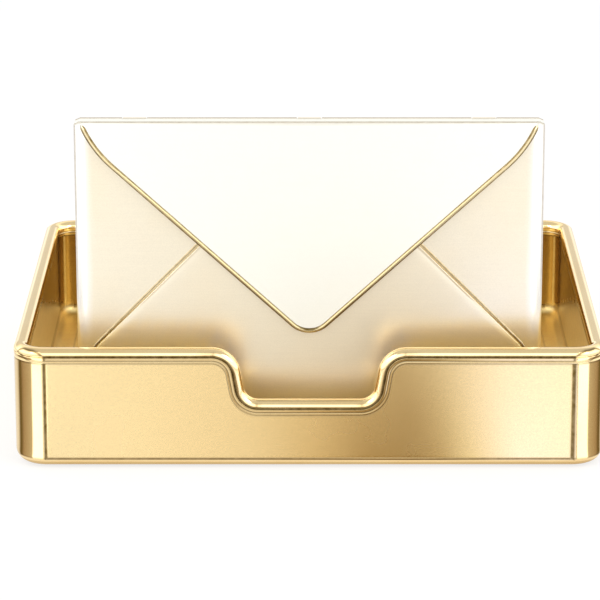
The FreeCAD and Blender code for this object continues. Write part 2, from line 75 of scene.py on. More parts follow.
@dataclass
class Route:
    """A line of runs and tangent bends that carries two section directions with it.

    Attributes:
        point: Where the line starts.
        heading: Its first direction.
        across: First direction of the section's width.
        up: First direction of the section's height.
        rows: Points so far, each with its two section directions.
    """

    point: Array
    heading: Array
    across: Array
    up: Array
    rows: list[Array] = field(default_factory=list)

    def __post_init__(self) -> None:
        """Keep the first point of the line."""
        self.rows.append(np.hstack([self.point, self.across, self.up])[None, :])

    def run(self, length: float, shares: Array | None = None) -> "Route":
        """Go straight on.

        Args:
            length: Length of the run in metres.
            shares: Places of its points as shares of the length; the end alone if None.

        Returns:
            The same route, so that steps can be chained.
        """
        shares = np.ones(1) if shares is None else shares
        points = self.point + np.outer(shares * length, self.heading)
        frames = np.repeat(np.hstack([self.across, self.up])[None, :], len(points), axis=0)
        self.rows.append(np.hstack([points, frames]))
        self.point = points[-1]
        return self

    def bend(self, axis: Array, radius: float, degrees: float, steps: int = 20) -> "Route":
        """Turn about an axis on a circle that is tangent to the line so far.

        Args:
            axis: Unit axis of the turn.
            radius: Radius of the line's own bend.
            degrees: How far it turns.
            steps: Number of points along the bend.

        Returns:
            The same route, so that steps can be chained.
        """
        angles = np.radians(degrees) * np.arange(1, steps + 1) / steps
        centre = self.point + np.cross(axis, self.heading) * radius
        points = centre + turned(self.point - centre, axis, angles)
        across, up = turned(self.across, axis, angles), turned(self.up, axis, angles)
        self.rows.append(np.hstack([points, across, up]))
        self.heading = turned(self.heading, axis, angles[-1:])[0]
        self.point, self.across, self.up = points[-1], across[-1], up[-1]
        return self

    def table(self) -> Array:
        """Return all points with their two section directions, nine numbers a row."""
        return np.vstack(self.rows)


def carried(section: Array, table: Array, scale: Array | None = None) -> Array:
    """Carry a flat section along a route.

    Every point is the route's point plus the section's width along the across
    direction plus its height along the up direction, both times the local scale.

    Args:
        section: Points of the section, (m, 2).
        table: Rows of a route, (n, 9).
        scale: Size of the section at each row, or None for its full size.

    Returns:
        Grid of points, (n, m, 3).
    """
    scale = np.ones(len(table)) if scale is None else scale
    points, across, up = table[:, None, 0:3], table[:, None, 3:6], table[:, None, 6:9]
    size = scale[:, None, None]
    return points + size * (section[None, :, 0:1] * across + section[None, :, 1:2] * up)


def arc(centre: tuple[float, float], radius: float, start: float, end: float,
        steps: int) -> Array:
    """Sample a flat arc: centre plus radius times (cos a, sin a).

    Args:
        centre: Middle of the arc.
        radius: Its radius.
        start: First angle in degrees.
        end: Last angle in degrees.
        steps: Number of points.

    Returns:
        Points, (steps, 2).
    """
    angles = np.radians(np.linspace(start, end, steps))
    return np.column_stack([centre[0] + radius * np.cos(angles),
                            centre[1] + radius * np.sin(angles)])


def ease(values: Array, low: float, high: float) -> Array:
    """Rise smoothly from 0 at low to 1 at high, as 3t^2 - 2t^3."""
    share = np.clip((values - low) / (high - low), 0, 1)
    return share * share * (3 - 2 * share)


def groove(distance: Array, width: float | Array) -> Array:
    """Return a bell of height 1 at distance 0, exp(-(d / w)^2)."""
    return np.exp(-(distance / width) ** 2)


def joined(rows: int, *parts: Array) -> Array:
    """Join parts of a loop in every row; a part without rows of its own is repeated."""
    return np.concatenate([np.broadcast_to(part, (rows, *part.shape[-2:])) for part in parts],
                          axis=1)


def lofted(x: Array, loops: Array) -> Array:
    """Set loops of (y, z) at their places across: one loop per place, or one for all."""
    places = np.broadcast_to(x[:, None, None], (len(x), loops.shape[-2], 1))
    return np.concatenate([places, joined(len(x), loops)], axis=2)


def both_ways(places: Array, digits: int = 7) -> Array:
    """Return places and their mirror images in rising order, each once after rounding."""
    return np.unique(np.round(np.concatenate([places, -places]), digits))


def outward(points: Array, quads: Array) -> bool:
    """Tell whether a closed surface's faces point outwards, by the sign of its volume."""
    a, b, c, d = (points[quads[:, index]] for index in range(4))
    return float(np.sum(a * (np.cross(b, c) + np.cross(c, d)))) > 0


def placed(name: str, data: bpy.types.ID, place: tuple[float, float, float] = (0.0, 0.0, 0.0)
           ) -> bpy.types.Object:
    """Put an object with the given data into the scene.

    Args:
        name: Name of the object.
        data: Its mesh, camera or lamp.
        place: Where it stands.

    Returns:
        The object.
    """
    made = bpy.data.objects.new(name, data)
    made.location = place
    bpy.context.scene.collection.objects.link(made)
    return made


def surface(name: str, grid: Array, masks: dict[str, Array] | None = None,
            ring: bool = False, crisp: float = 50.0) -> bpy.types.Object:
    """Make a closed mesh from a grid whose rows are closed loops.

    Args:
        name: Name of the piece.
        grid: Points, (rows, columns, 3); every row is a loop.
        masks: Values between 0 and 1 over the grid, kept as point attributes.
        ring: True if the last row joins the first; otherwise both end rows are capped.
        crisp: Angle in degrees above which an edge is drawn sharp.

    Returns:
        The new object, at the origin.
    """
    rows, columns = grid.shape[:2]
    index = np.arange(rows * columns).reshape(rows, columns)
    wide = np.hstack([index, index[:, :1]])
    tall = np.vstack([wide, wide[:1]]) if ring else wide
    quads = np.stack([tall[:-1, :-1], tall[1:, :-1], tall[1:, 1:], tall[:-1, 1:]],
                     axis=-1).reshape(-1, 4)
    points = grid.reshape(-1, 3)
    first, last = index[0], index[-1, ::-1]
    if not outward(points - points.mean(axis=0), quads):
        quads, first, last = quads[:, ::-1], first[::-1], last[::-1]
    caps = [] if ring else [first.tolist(), last.tolist()]
    mesh = bpy.data.meshes.new(name)
    mesh.from_pydata(points.tolist(), [], quads.tolist() + caps)
    for label, values in (masks or {}).items():
        layer = mesh.attributes.new(label, "FLOAT", "POINT")
        spread = np.broadcast_to(values, (rows, columns)).astype(np.float32)
        layer.data.foreach_set("value", np.ascontiguousarray(spread).ravel())
    mesh.shade_smooth()
    mesh.set_sharp_from_angle(angle=np.radians(crisp))
    mesh.update()
    return placed(name, mesh)


# ---- Shader groups --------------------------------------------------------------
class Pattern(Enum):
    """Surface effects that several finishes share."""

    GRAIN = "metal_grain"
    HANDLING = "handling_marks"
    CREASE = "crease_shade_and_tarnish"


Socket = bpy.types.NodeSocket
Value = Socket | float | tuple
Colour = tuple[float, float, float]
Span = tuple[float, float]
Table = tuple[tuple[float, ...], tuple[float, ...]]
Stops = tuple[tuple[float, Colour], ...]
UNIT = (0.0, 1.0)
FADE = (1.0, 0.0)
WHITE = (1.0, 1.0, 1.0)


@dataclass
class Graph:
    """A node tree with short ways to add nodes and links."""

    tree: bpy.types.NodeTree

    @classmethod
    def emptied(cls, owner: bpy.types.Material | bpy.types.World) -> "Graph":
        """Switch a material or world to nodes and empty it.

        Args:
            owner: The material or world.

        Returns:
            Its graph.
        """
        owner.use_nodes = True
        owner.node_tree.nodes.clear()
        return cls(owner.node_tree)

    def feed(self, target: Socket, value: Value) -> None:
        """Link an input to a socket, or set its value.

        Args:
            target: The input.
            value: A socket, number, vector or colour.
        """
        if isinstance(value, Socket):
            self.tree.links.new(value, target)
        else:
            target.default_value = (*value, 1.0) if target.type == "RGBA" else value

    def add(self, kind: str, inputs: dict[str | int, Value] | None = None,
            **settings: object) -> bpy.types.Node:
        """Add a shader node.

        Args:
            kind: Its type, without the ShaderNode in front.
            inputs: What its inputs get, by name or index.
            settings: Values of its own properties.

        Returns:
            The node.
        """
        node = self.tree.nodes.new("ShaderNode" + kind)
        for name, value in settings.items():
            setattr(node, name, value)
        for key, value in (inputs or {}).items():
            self.feed(node.inputs[key], value)
        return node

    def noise(self, vector: Socket, scale: float, detail: float, rough: float = 0.5) -> Socket:
        """Return a noise's value, about 0.5 on average, for a scale in features per metre."""
        return self.add("TexNoise", {"Vector": vector, "Scale": scale, "Detail": detail,
                                     "Roughness": rough}).outputs[0]

    def stretched(self, vector: Socket, scale: tuple[float, float, float]) -> Socket:
        """Scale a vector along each axis, which draws a pattern out."""
        return self.add("Mapping", {"Vector": vector, "Scale": scale}).outputs[0]

    def math(self, operation: str, *numbers: Socket | float) -> Socket:
        """Return the result of a sum with up to three numbers, the missing ones being 0."""
        padded = (*numbers, 0.0, 0.0)[:3]
        return self.add("Math", dict(enumerate(padded)), operation=operation).outputs[0]

    def length(self, *sides: Socket) -> Socket:
        """Return the length of a flat vector, the root of the sum of its sides' squares."""
        squares = (self.math("MULTIPLY", side, side) for side in sides)
        return self.math("SQRT", self.math("ADD", *squares))

    def span(self, value: Socket, source: tuple[float, float],
             target: tuple[float, float] = UNIT, kind: str = "LINEAR") -> Socket:
        """Map a value from one range to another and hold it there."""
        inputs = dict(enumerate((value, *source, *target)))
        return self.add("MapRange", inputs, interpolation_type=kind).outputs[0]

    def mix(self, share: Socket | float, first: Socket | tuple, second: Socket | tuple,
            blend: str = "MIX") -> Socket:
        """Mix two colours, the share being how much of the second."""
        return self.add("Mix", {0: share, 6: first, 7: second}, data_type="RGBA",
                        blend_type=blend).outputs[2]

    def merge(self, share: Socket | float, first: Socket, second: Socket) -> Socket:
        """Mix two shaders, the share being how much of the second."""
        return self.add("MixShader", {0: share, 1: first, 2: second}).outputs[0]

    def ramp(self, value: Socket, stops: Stops, peak: float) -> Socket:
        """Look a colour up along a value.

        Args:
            value: What is looked up.
            stops: Rows of (value, (r, g, b)) with the value rising, over the whole range.
            peak: Number that the ramp's colours are divided by, to hold those above 1.

        Returns:
            The colour, divided by the peak.
        """
        start, end = stops[0][0], stops[-1][0]
        node = self.add("ValToRGB", {0: self.span(value, (start, end))})
        elements = node.color_ramp.elements
        while len(elements) < len(stops):
            elements.new(0.5)
        for element, (place, colour) in zip(elements, stops):
            element.position = (place - start) / (end - start)
            element.color = (*(channel / peak for channel in colour), 1.0)
        return node.outputs[0]


class PatternBook:
    """Builds each shared effect once, as a shader node group."""

    made: ClassVar[dict[Pattern, bpy.types.NodeTree]] = {}

    @classmethod
    def group(cls, pattern: Pattern) -> bpy.types.NodeTree:
        """Look a pattern's group up, and build it the first time.

        Args:
            pattern: The effect.

        Returns:
            Its node group.
        """
        if pattern not in cls.made:
            inputs, outputs, build = {
                Pattern.GRAIN: (("Vector", "Lines"), ("Speckle", "Height"), cls.grain),
                Pattern.HANDLING: (("Vector",), ("Smudge", "Scratch"), cls.handling),
                Pattern.CREASE: (("Vector", "Crease"), ("Mask",), cls.crease)}[pattern]
            tree = bpy.data.node_groups.new(pattern.value, "ShaderNodeTree")
            for side, labels in (("INPUT", inputs), ("OUTPUT", outputs)):
                for label in labels:
                    kind = "NodeSocketVector" if label == "Vector" else "NodeSocketFloat"
                    tree.interface.new_socket(label, in_out=side, socket_type=kind)
            source, sink = (tree.nodes.new("NodeGroup" + side) for side in ("Input", "Output"))
            results = build(Graph(tree), *(source.outputs[label] for label in inputs))
            for label, result in zip(outputs, results):
                tree.links.new(result, sink.inputs[label])
            cls.made[pattern] = tree
        return cls.made[pattern]

    @staticmethod
    def grain(graph: Graph, place: Socket, strength: Socket) -> tuple[Socket, Socket]:
        """Make the fine grain of rolled sheet: speckle and faint lines along X.

        Args:
            graph: The group's graph.
            place: Where the grain is read.
            strength: Strength of the lines.

        Returns:
            The speckle and the grain's height.
        """
        speckle = graph.noise(place, 2600.0, 1.5, 0.6)
        lines = graph.noise(graph.stretched(place, (60.0, 900.0, 2200.0)), 1.0, 2.0, 0.55)
        drawn = graph.math("MULTIPLY", graph.math("SUBTRACT", lines, 0.5), strength)
        height = graph.math("ADD", graph.math("MULTIPLY", speckle, 0.5), drawn)
        return graph.math("ADD", speckle, drawn), height

    @staticmethod
    def handling(graph: Graph, place: Socket) -> tuple[Socket, Socket]:
        """Make the marks of handling: soft cloudy smudges and a few straight hairlines.

        Args:
            graph: The group's graph.
            place: Where the marks are read.

        Returns:
            The smudges and the hairlines.
        """
        cloud = graph.noise(place, 34.0, 3.0, 0.55)
        hair = graph.noise(graph.stretched(place, (14.0, 700.0, 1500.0)), 1.0, 2.0, 0.6)
        return (graph.span(cloud, (0.34, 0.72), UNIT, "SMOOTHERSTEP"),
                graph.span(hair, (0.70, 0.80)))

    @staticmethod
    def crease(graph: Graph, place: Socket, depth: Socket) -> tuple[Socket]:
        """Make the painted shade and tarnish that follow a crease mask, broken up by a fine
        noise.
        """
        uneven = graph.span(graph.noise(place, 420.0, 2.0), (0.3, 0.7), (0.82, 1.0))
        return (graph.math("MULTIPLY", depth, uneven),)


# ---- Finishes -------------------------------------------------------------------
@dataclass(frozen=True)
class MetalFinish:
    """A metal surface: its tones, gloss, grain, and the painted shade and tarnish of its creases.

    Attributes:
        name: Name of the material.
        tone: Colour where it is clean.
        deep: Colour where handling has dulled it.
        shade_and_tarnish: Colour that the crease mask paints: painted shade and tarnish in
            creases, and painted dark lines.
        satin_and_painted_tone: Colour where the satin mask is 1, or None for the clean colour; on
            the tub, the flap's edging and the side flaps it is painted light or shade.
        painted_reflection: Colour where the reflection mask is 1, a painted reflection of the
            tray's gold, or None for the clean colour.
        metallic: Share of metal under the lacquer.
        painted_reflection_metallic: Share of metal where the reflection mask is 1, or None for
            the same.
        gloss: Roughness of polished places.
        satin: Roughness where the satin mask is 1.
        grain: Strength of the speckle in the colour.
        relief: Height of the grain in metres.
        lines: Strength of the drawn lines.
        coat: Weight of the clear lacquer.
    """

    COAT_ROUGH: ClassVar[float] = 0.08
    SMUDGE_ROUGH: ClassVar[float] = 0.01
    SMUDGE_SHARE: ClassVar[float] = 0.18
    SCRATCH_ROUGH: ClassVar[float] = 0.06
    SHADE_AND_TARNISH_ROUGH: ClassVar[float] = 0.2

    name: str
    tone: Colour
    deep: Colour
    shade_and_tarnish: Colour
    satin_and_painted_tone: Colour | None = None
    painted_reflection: Colour | None = None
    metallic: float = 1.0
    painted_reflection_metallic: float | None = None
    gloss: float = 0.1
    satin: float = 0.3
    grain: float = 0.05
    relief: float = 2e-6
    lines: float = 0.4
    coat: float = 0.0

    def material(self) -> bpy.types.Material:
        """Build the material, unless it is there already.

        Returns:
            The material.
        """
        found = bpy.data.materials.get(self.name)
        if found:
            return found
        made = bpy.data.materials.new(self.name)
        graph = Graph.emptied(made)
        place = graph.add("TexCoord").outputs["Object"]
        grain, marks, crease = (
            graph.add("Group", {"Vector": place}, node_tree=PatternBook.group(pattern))
            for pattern in Pattern)
        depth, satin, glow = (graph.add("Attribute", attribute_name=mask).outputs["Fac"]
                              for mask in ("crease", "satin", "painted_reflection"))
        graph.feed(grain.inputs["Lines"], self.lines)
        graph.feed(crease.inputs["Crease"], depth)
        smudge, scratch = marks.outputs["Smudge"], marks.outputs["Scratch"]
        dark = crease.outputs["Mask"]

        # The satin mask swaps in the satin tone, which on some pieces is painted light or shade.
        clean = graph.mix(satin, graph.mix(smudge, self.tone, self.deep), self.satin_and_painted_tone or self.tone)
        # Painted reflection: the last mask paints the tray's gold as if it were reflected in the
        # lacquer.
        clean = graph.mix(glow, clean, self.painted_reflection or self.tone)
        speckle = graph.span(grain.outputs["Speckle"], (0.25, 0.75),
                             (1.0 - self.grain, 1.0 + self.grain))
        grey = graph.add("CombineColor", dict.fromkeys(range(3), speckle)).outputs[0]
        # Painted shade and tarnish: the crease mask darkens the colour towards the crease colour.
        colour = graph.mix(dark, graph.mix(1.0, clean, grey, "MULTIPLY"), self.shade_and_tarnish)

        metallic = self.metallic
        if self.painted_reflection_metallic is not None:
            metallic = graph.math("MULTIPLY_ADD", glow, self.painted_reflection_metallic - metallic, metallic)
        rough = graph.math("MULTIPLY_ADD", satin, self.satin - self.gloss, self.gloss)
        dulled = self.SMUDGE_SHARE * self.gloss + self.SMUDGE_ROUGH
        for mask, rise in ((smudge, dulled), (scratch, self.SCRATCH_ROUGH),
                           (dark, self.SHADE_AND_TARNISH_ROUGH)):
            rough = graph.math("MULTIPLY_ADD", mask, rise, rough)
        bump = graph.add("Bump", {"Strength": 1.0, "Distance": self.relief,
                                  "Height": grain.outputs["Height"]})
        shader = graph.add("BsdfPrincipled", {
            "Base Color": colour, "Metallic": metallic, "Roughness": rough,
            "Coat Weight": self.coat, "Coat Roughness": self.COAT_ROUGH,
            "Normal": bump.outputs[0]})
        graph.add("OutputMaterial", {"Surface": shader.outputs[0]})
        return made

    def dress(self, piece: bpy.types.Object) -> None:
        """Put this finish on every slot of a piece.

        Args:
            piece: The piece.
        """
        slots = piece.data.materials
        for index in range(len(slots)):
            slots[index] = self.material()
        if not slots:
            slots.append(self.material())


POLISHED_BRASS = MetalFinish("polished_brass_finish", (0.94, 0.73, 0.40), (0.91, 0.68, 0.35),
                             (0.13, 0.08, 0.02), satin_and_painted_tone=(0.95, 0.735, 0.385), gloss=0.09,
                             satin=0.25, grain=0.06, relief=1.2e-6, lines=0.12)
# The tub's brass: its tone is darkened as painted shade for the walls, and its satin tone is a
# bright lit copy painted on the floor, the front wall, the corner highlights and the side walls'
# painted light.
TUB_BRASS_LIT_AND_SHADED = MetalFinish("tub_brass_lit_and_shaded_finish", (0.46, 0.295, 0.09), (0.41, 0.255, 0.075),
                          (0.10, 0.055, 0.012), satin_and_painted_tone=(1.0, 0.76, 0.33),
                          gloss=0.13, satin=0.39, grain=0.14)
BRUSHED_BRASS = MetalFinish("brushed_brass_finish", (0.86, 0.64, 0.32), (0.78, 0.55, 0.25),
                            (0.18, 0.10, 0.03), gloss=0.24, grain=0.08, relief=4e-6, lines=1.2)
# The edging's satin tone is darker: painted shade over its brightest side.
GILT = MetalFinish("gilt_edging_finish", (0.96, 0.81, 0.50), (0.93, 0.76, 0.44),
                   (0.11, 0.068, 0.016), satin_and_painted_tone=(0.70, 0.57, 0.32), gloss=0.12, satin=0.24,
                   grain=0.03)
CREAM_GILT = MetalFinish("cream_gilt_finish", (0.95, 0.84, 0.62), (0.92, 0.79, 0.55),
                         (0.16, 0.105, 0.03), gloss=0.18, grain=0.03)
STEEL = MetalFinish("plated_steel_finish", (0.62, 0.62, 0.60), (0.48, 0.48, 0.47),
                    (0.10, 0.09, 0.08), gloss=0.26, grain=0.06, lines=0.8)
# The pearl's satin tone is a paler painted highlight on the side flaps' edges, its warm tone a
# painted reflection of the tray's gold, and its crease colour painted shade.
PEARL = MetalFinish("pearl_lacquer_finish", (0.90, 0.82, 0.66), (0.88, 0.79, 0.62),
                    (0.45, 0.38, 0.30), satin_and_painted_tone=(0.985, 0.975, 0.94), painted_reflection=(1.0, 0.82, 0.41),
                    metallic=0.75, painted_reflection_metallic=0.6, gloss=0.30, satin=0.32, grain=0.035,
                    relief=3e-6, coat=0.15)
IVORY = MetalFinish("ivory_lacquer_finish", (0.965, 0.955, 0.88), (0.955, 0.935, 0.85),
                    (0.45, 0.39, 0.30), metallic=0.45, gloss=0.34, satin=0.38, grain=0.015,
                    relief=2e-6, coat=0.2)
RUBBER = MetalFinish("foot_rubber_finish", (0.035, 0.033, 0.031), (0.06, 0.058, 0.054),
                     (0.015, 0.014, 0.013), metallic=0.0, gloss=0.75, satin=0.8, grain=0.3,
                     relief=3e-5, lines=0.0)


class Body(Enum):
    """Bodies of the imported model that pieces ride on."""

    TRAY = "tray"
    ENVELOPE = "envelope"
    FLAP = "flap"


def fit(piece: bpy.types.Object, body: Body, finish: MetalFinish,
        node: str) -> None:
    """Dress a new piece and give it its place in the model.

    Args:
        piece: The new piece.
        body: Body that carries it.
        finish: Its finish.
        node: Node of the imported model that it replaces.
    """
    finish.dress(piece)
    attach(piece, body.value)
    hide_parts(node)
    log.info("%s: %d faces on %s", piece.name, len(piece.data.polygons), body.value)


def keep(finish: MetalFinish, *names: str) -> None:
    """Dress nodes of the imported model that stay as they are.

    Args:
        finish: Their finish.
        names: Their names.
    """
    for name in names:
        finish.dress(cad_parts[name])
        log.info("%s: kept", name)


# ---- Studio ---------------------------------------------------------------------
# Levels of the room by the upward part of the direction: as a lamp, and as reflections see
# it on the side of the camera and behind the tray.
ROOM_PLAIN = ((-1.0, 0.55), (0.0, 0.60), (0.12, 0.76), (0.36, 0.96), (0.68, 1.0), (1.0, 1.0))
ROOM_AHEAD = ((-1.0, 0.9), (0.02, 1.0), (0.07, 2.1), (0.54, 2.2), (0.63, 1.3), (0.71, 0.78),
              (1.0, 0.74))
ROOM_BEHIND = ((-1.0, 0.9), (0.0, 1.15), (0.16, 1.3), (0.22, 0.80), (0.40, 0.82), (0.5, 1.2),
               (0.8, 1.25), (1.0, 0.78))
# The card before the front panel by x: pale ends, brown right of the middle.
PANEL_CARD: Stops = ((-0.105, (1.12, 1.14, 1.20)), (-0.060, (1.12, 1.10, 1.06)),
                     (-0.020, (0.96, 0.90, 0.80)), (0.002, (0.74, 0.62, 0.44)),
                     (0.020, (0.45, 0.335, 0.18)), (0.036, (0.38, 0.28, 0.15)),
                     (0.046, (0.53, 0.43, 0.28)), (0.057, (0.98, 0.93, 0.82)),
                     (0.073, (1.40, 1.46, 1.92)), (0.105, (1.36, 1.42, 1.70)))
# The table further off by the distance from its middle line: brighter to both sides.
FAR_CARD: Stops = ((0.0, (0.98, 0.97, 0.95)), (0.06, (1.0, 0.99, 0.97)),
                   (0.11, (1.25, 1.25, 1.24)), (0.15, (1.5, 1.5, 1.5)), (0.6, (1.4, 1.4, 1.4)))
# The wedges before the front corners by the angle at which the corner reflects them.
CORNER_CARD: Stops = ((0.0, (0.9, 0.85, 0.75)), (8.0, (0.35, 0.27, 0.15)),
                      (12.0, (2.2, 2.25, 2.3)), (49.0, (2.2, 2.25, 2.35)),
                      (55.0, (0.66, 0.58, 0.44)), (90.0, (0.46, 0.35, 0.23)),
                      (104.0, (0.18, 0.13, 0.05)), (112.0, (0.20, 0.15, 0.07)),
                      (120.0, (0.75, 0.71, 0.66)), (130.0, (1.0, 0.98, 0.97)),
                      (180.0, (1.0, 1.0, 1.0)))
# Two lines close round the tray: distances beyond its outline where they fade, and tone.
EDGE_CARDS = (((0.0012, 0.0030), (1.12, 1.08, 1.02)), ((-0.0010, -0.0004), (0.82, 0.72, 0.58)))


@dataclass
class Studio:
    """Camera, floor, world and soft lamps.

    Attributes:
        eye: Place of the camera.
        pitch: How far it looks down, in degrees.
        lens: Focal length in millimetres.
        sensor: Width of the picture's sensor in millimetres.
        shift: Sideways shift of the picture.
        lamps: Name, place, size and power of each soft lamp.
        peak: Brightest level of the cards that reflections see.
        tint: Blue of the room as a share of its red and green.
        corner: Middle and radius of the tray's front corners, (x, -y, radius).
        corner_shift: Degrees by which the right corner's wedges are turned back.
        table_half: Half the side of the table.
        paint: Brightness of the table's paint.
        glow_seen: Share of glow in the table as the eye sees it.
        glow_mirrored: Share of glow in the table as metal mirrors it.
        ahead: Parts of the direction along Y over which the room ahead gives way.
        wedge_turn: Angles over which a corner's wedges start.
        wedge_reach: Distances from the corner's middle over which they end.
        wedge_back: Places along Y over which they end.
        panel_reach: Distances along Y over which the front panel's card ends.
        panel_side: Distances along X over which it ends.
        far_front: Places along Y over which the far card starts.
        far_back: Places along Y over which it ends.
    """

    eye: tuple[float, float, float] = (0.0, -1.2019, 0.3918)
    pitch: float = 16.5
    lens: float = 204.5
    sensor: float = 36.0
    shift: float = -0.0155
    lamps: tuple = (("key_left", (-0.75, -0.75, 0.75), 0.55, 2.6),
                    ("key_right", (0.75, -0.75, 0.75), 0.55, 2.6))
    peak: float = 2.4
    tint: float = 0.985
    corner: tuple[float, float, float] = (91.0 * MM, 74.65 * MM, 11.3 * MM)
    corner_shift: float = 7.0
    table_half: float = 6.0
    paint: float = 0.86
    glow_seen: float = 0.76
    glow_mirrored: float = 0.85
    ahead: Span = (0.45, 0.75)
    wedge_turn: Span = (6.0, 8.0)
    wedge_reach: Span = (0.16, 0.20)
    wedge_back: Span = (0.04, 0.06)
    panel_reach: Span = (0.32, 0.25)
    panel_side: Span = (0.105, 0.13)
    far_front: Span = (-0.7, -0.6)
    far_back: Span = (0.25, 0.40)

    def build(self) -> None:
        """Make everything that isn't part of the object."""
        self.camera()
        self.world()
        self.floor()
        for name, place, size, power in self.lamps:
            self.lamp(name, place, size, power)
        bpy.context.scene.view_settings.view_transform = "Standard"

    def camera(self) -> None:
        """Set the camera a little above the tray, looking slightly down."""
        data = bpy.data.cameras.new("camera")
        data.lens, data.sensor_width, data.shift_x = self.lens, self.sensor, self.shift
        eye = placed("camera", data, self.eye)
        eye.rotation_euler = (np.radians(90.0 - self.pitch), 0.0, 0.0)
        bpy.context.scene.camera = eye

    def lamp(self, name: str, place: tuple[float, float, float], size: float,
             power: float) -> None:
        """Hang one soft square lamp that points at the middle of the tray.

        Args:
            name: Name of the lamp.
            place: Where it hangs.
            size: Length of its side.
            power: Power in watts.
        """
        data = bpy.data.lights.new(name, "AREA")
        data.size, data.energy = size, power
        lamp = placed(name, data, place)
        lamp.rotation_euler = (-lamp.location).to_track_quat("-Z", "Y").to_euler()

    def world(self) -> None:
        """Light the room evenly, and hang a long bright card ahead for reflections."""
        world = bpy.data.worlds.new("studio")
        bpy.context.scene.world = world
        graph = Graph.emptied(world)
        aim = graph.add("SeparateXYZ", {0: graph.add("TexCoord").outputs["Generated"]})
        plain, front, back = (
            graph.ramp(aim.outputs["Z"], tuple((at, (level, level, level * self.tint))
                                               for at, level in stops), self.peak)
            for stops in (ROOM_PLAIN, ROOM_AHEAD, ROOM_BEHIND))
        seen = graph.mix(graph.span(aim.outputs["Y"], self.ahead), front, back)
        path = graph.add("LightPath").outputs
        room = graph.add("Background", {"Color": graph.mix(path["Is Glossy Ray"], plain, seen),
                                        "Strength": self.peak})
        white = graph.add("Background", {"Color": WHITE})
        choice = graph.merge(path["Is Camera Ray"], room.outputs[0], white.outputs[0])
        graph.add("OutputWorld", {"Surface": choice})
        world.cycles.sampling_method = "NONE"

    def floor(self) -> None:
        """Lay the white table: plain to the eye, soft warm cards in its reflections."""
        half = self.table_half
        corners = [(-half, -half, 0.0), (half, -half, 0.0), (half, half, 0.0), (-half, half, 0.0)]
        mesh = bpy.data.meshes.new("table")
        mesh.from_pydata(corners, [], [(0, 1, 2, 3)])
        mesh.materials.append(self.table_finish())
        placed("table", mesh)

    def corner_card(self, graph: Graph, x: Socket, y: Socket) -> tuple[Socket, Socket]:
        """Colour the wedges that the tray's rounded front corners reflect.

        The direction in which a corner's reflection leaves is the polar angle about the
        corner's middle, plus its radius over the distance times the sine of half of it.

        Args:
            graph: The table's node tree.
            x: Place across the table.
            y: Place along the table.

        Returns:
            The colour, and how much of it shows.
        """
        middle_x, middle_y, radius = self.corner
        out = graph.math("SUBTRACT", graph.math("ABSOLUTE", x), middle_x)
        fore = graph.math("MULTIPLY_ADD", y, -1.0, -middle_y)
        away = graph.length(out, fore)
        polar = graph.math("ARCTAN2", out, fore)
        bow = graph.math("DIVIDE", radius, graph.math("MAXIMUM", away, 0.5 * radius))
        half = graph.math("SINE", graph.math("MULTIPLY", polar, 0.5))
        angle = graph.math("DEGREES", graph.math("MULTIPLY_ADD", bow, half, polar))
        right = graph.math("GREATER_THAN", x, 0.0)
        angle = graph.math("MULTIPLY_ADD", right, -self.corner_shift, angle)
        share = graph.math("MULTIPLY", graph.span(angle, self.wedge_turn),
                           graph.span(away, self.wedge_reach, FADE))
        share = graph.math("MULTIPLY", share, graph.span(y, self.wedge_back, FADE))
        return graph.ramp(angle, CORNER_CARD, self.peak), share

    def beyond(self, graph: Graph, x: Socket, y: Socket) -> Socket:
        """Measure how far a place lies beyond the tray's rounded outline.

        It is the length of (max(|x| - a, 0), max(|y| - b, 0)) less the corner's radius,
        for a corner's middle at (a, b).

        Args:
            graph: The table's node tree.
            x: Place across the table.
            y: Place along the table.

        Returns:
            The distance, negative under the tray.
        """
        past = []
        for value, middle in zip((x, y), self.corner):
            out = graph.math("SUBTRACT", graph.math("ABSOLUTE", value), middle)
            past.append(graph.math("MAXIMUM", out, 0.0))
        return graph.math("SUBTRACT", graph.length(*past), self.corner[2])

    def table_finish(self) -> bpy.types.Material:
        """Build the table's material.

        Returns:
            A white material that keeps shadows, with soft cards about the tray that only
            reflections see.
        """
        made = bpy.data.materials.new("white_table")
        graph = Graph.emptied(made)
        place = graph.add("SeparateXYZ", {0: graph.add("TexCoord").outputs["Object"]}).outputs
        x, y = place["X"], place["Y"]
        aside, away = (graph.math("ABSOLUTE", value) for value in (x, y))

        near = graph.span(away, self.panel_reach)
        along = graph.math("MULTIPLY", graph.span(y, self.far_front),
                           graph.span(y, self.far_back, FADE))
        far = graph.mix(along, (1.0 / self.peak,) * 3, graph.ramp(aside, FAR_CARD, self.peak))
        seen = graph.mix(near, far, graph.ramp(x, PANEL_CARD, self.peak))
        wide = graph.math("MULTIPLY", near, graph.span(aside, self.panel_side))
        seen = graph.mix(wide, seen, far)
        wedge, share = self.corner_card(graph, x, y)
        seen = graph.mix(share, seen, wedge)
        past = self.beyond(graph, x, y)
        for fade, tone in EDGE_CARDS:
            seen = graph.mix(graph.span(past, fade, FADE), seen,
                             tuple(level / self.peak for level in tone))

        path = graph.add("LightPath").outputs
        paint = graph.add("BsdfDiffuse", {"Color": (self.paint,) * 3})
        shown = graph.merge(path["Is Camera Ray"], paint.outputs[0],
                            self.shown(graph, WHITE, self.glow_seen, 1.0))
        shown = graph.merge(path["Is Glossy Ray"], shown,
                            self.shown(graph, seen, self.glow_mirrored, self.peak))
        graph.add("OutputMaterial", {"Surface": shown})
        return made

    @staticmethod
    def shown(graph: Graph, colour: Socket | tuple, glow: float, level: float) -> Socket:
        """Mix a glow of a colour with its matt paint, so that shadows stay.

        Args:
            graph: The table's node tree.
            colour: Colour or socket.
            glow: Share of the glow.
            level: Strength of the glow.

        Returns:
            The mixed shader.
        """
        light = graph.add("Emission", {"Color": colour, "Strength": level})
        paint = graph.add("BsdfDiffuse", {"Color": colour})
        return graph.merge(1.0 - glow, light.outputs[0], paint.outputs[0])


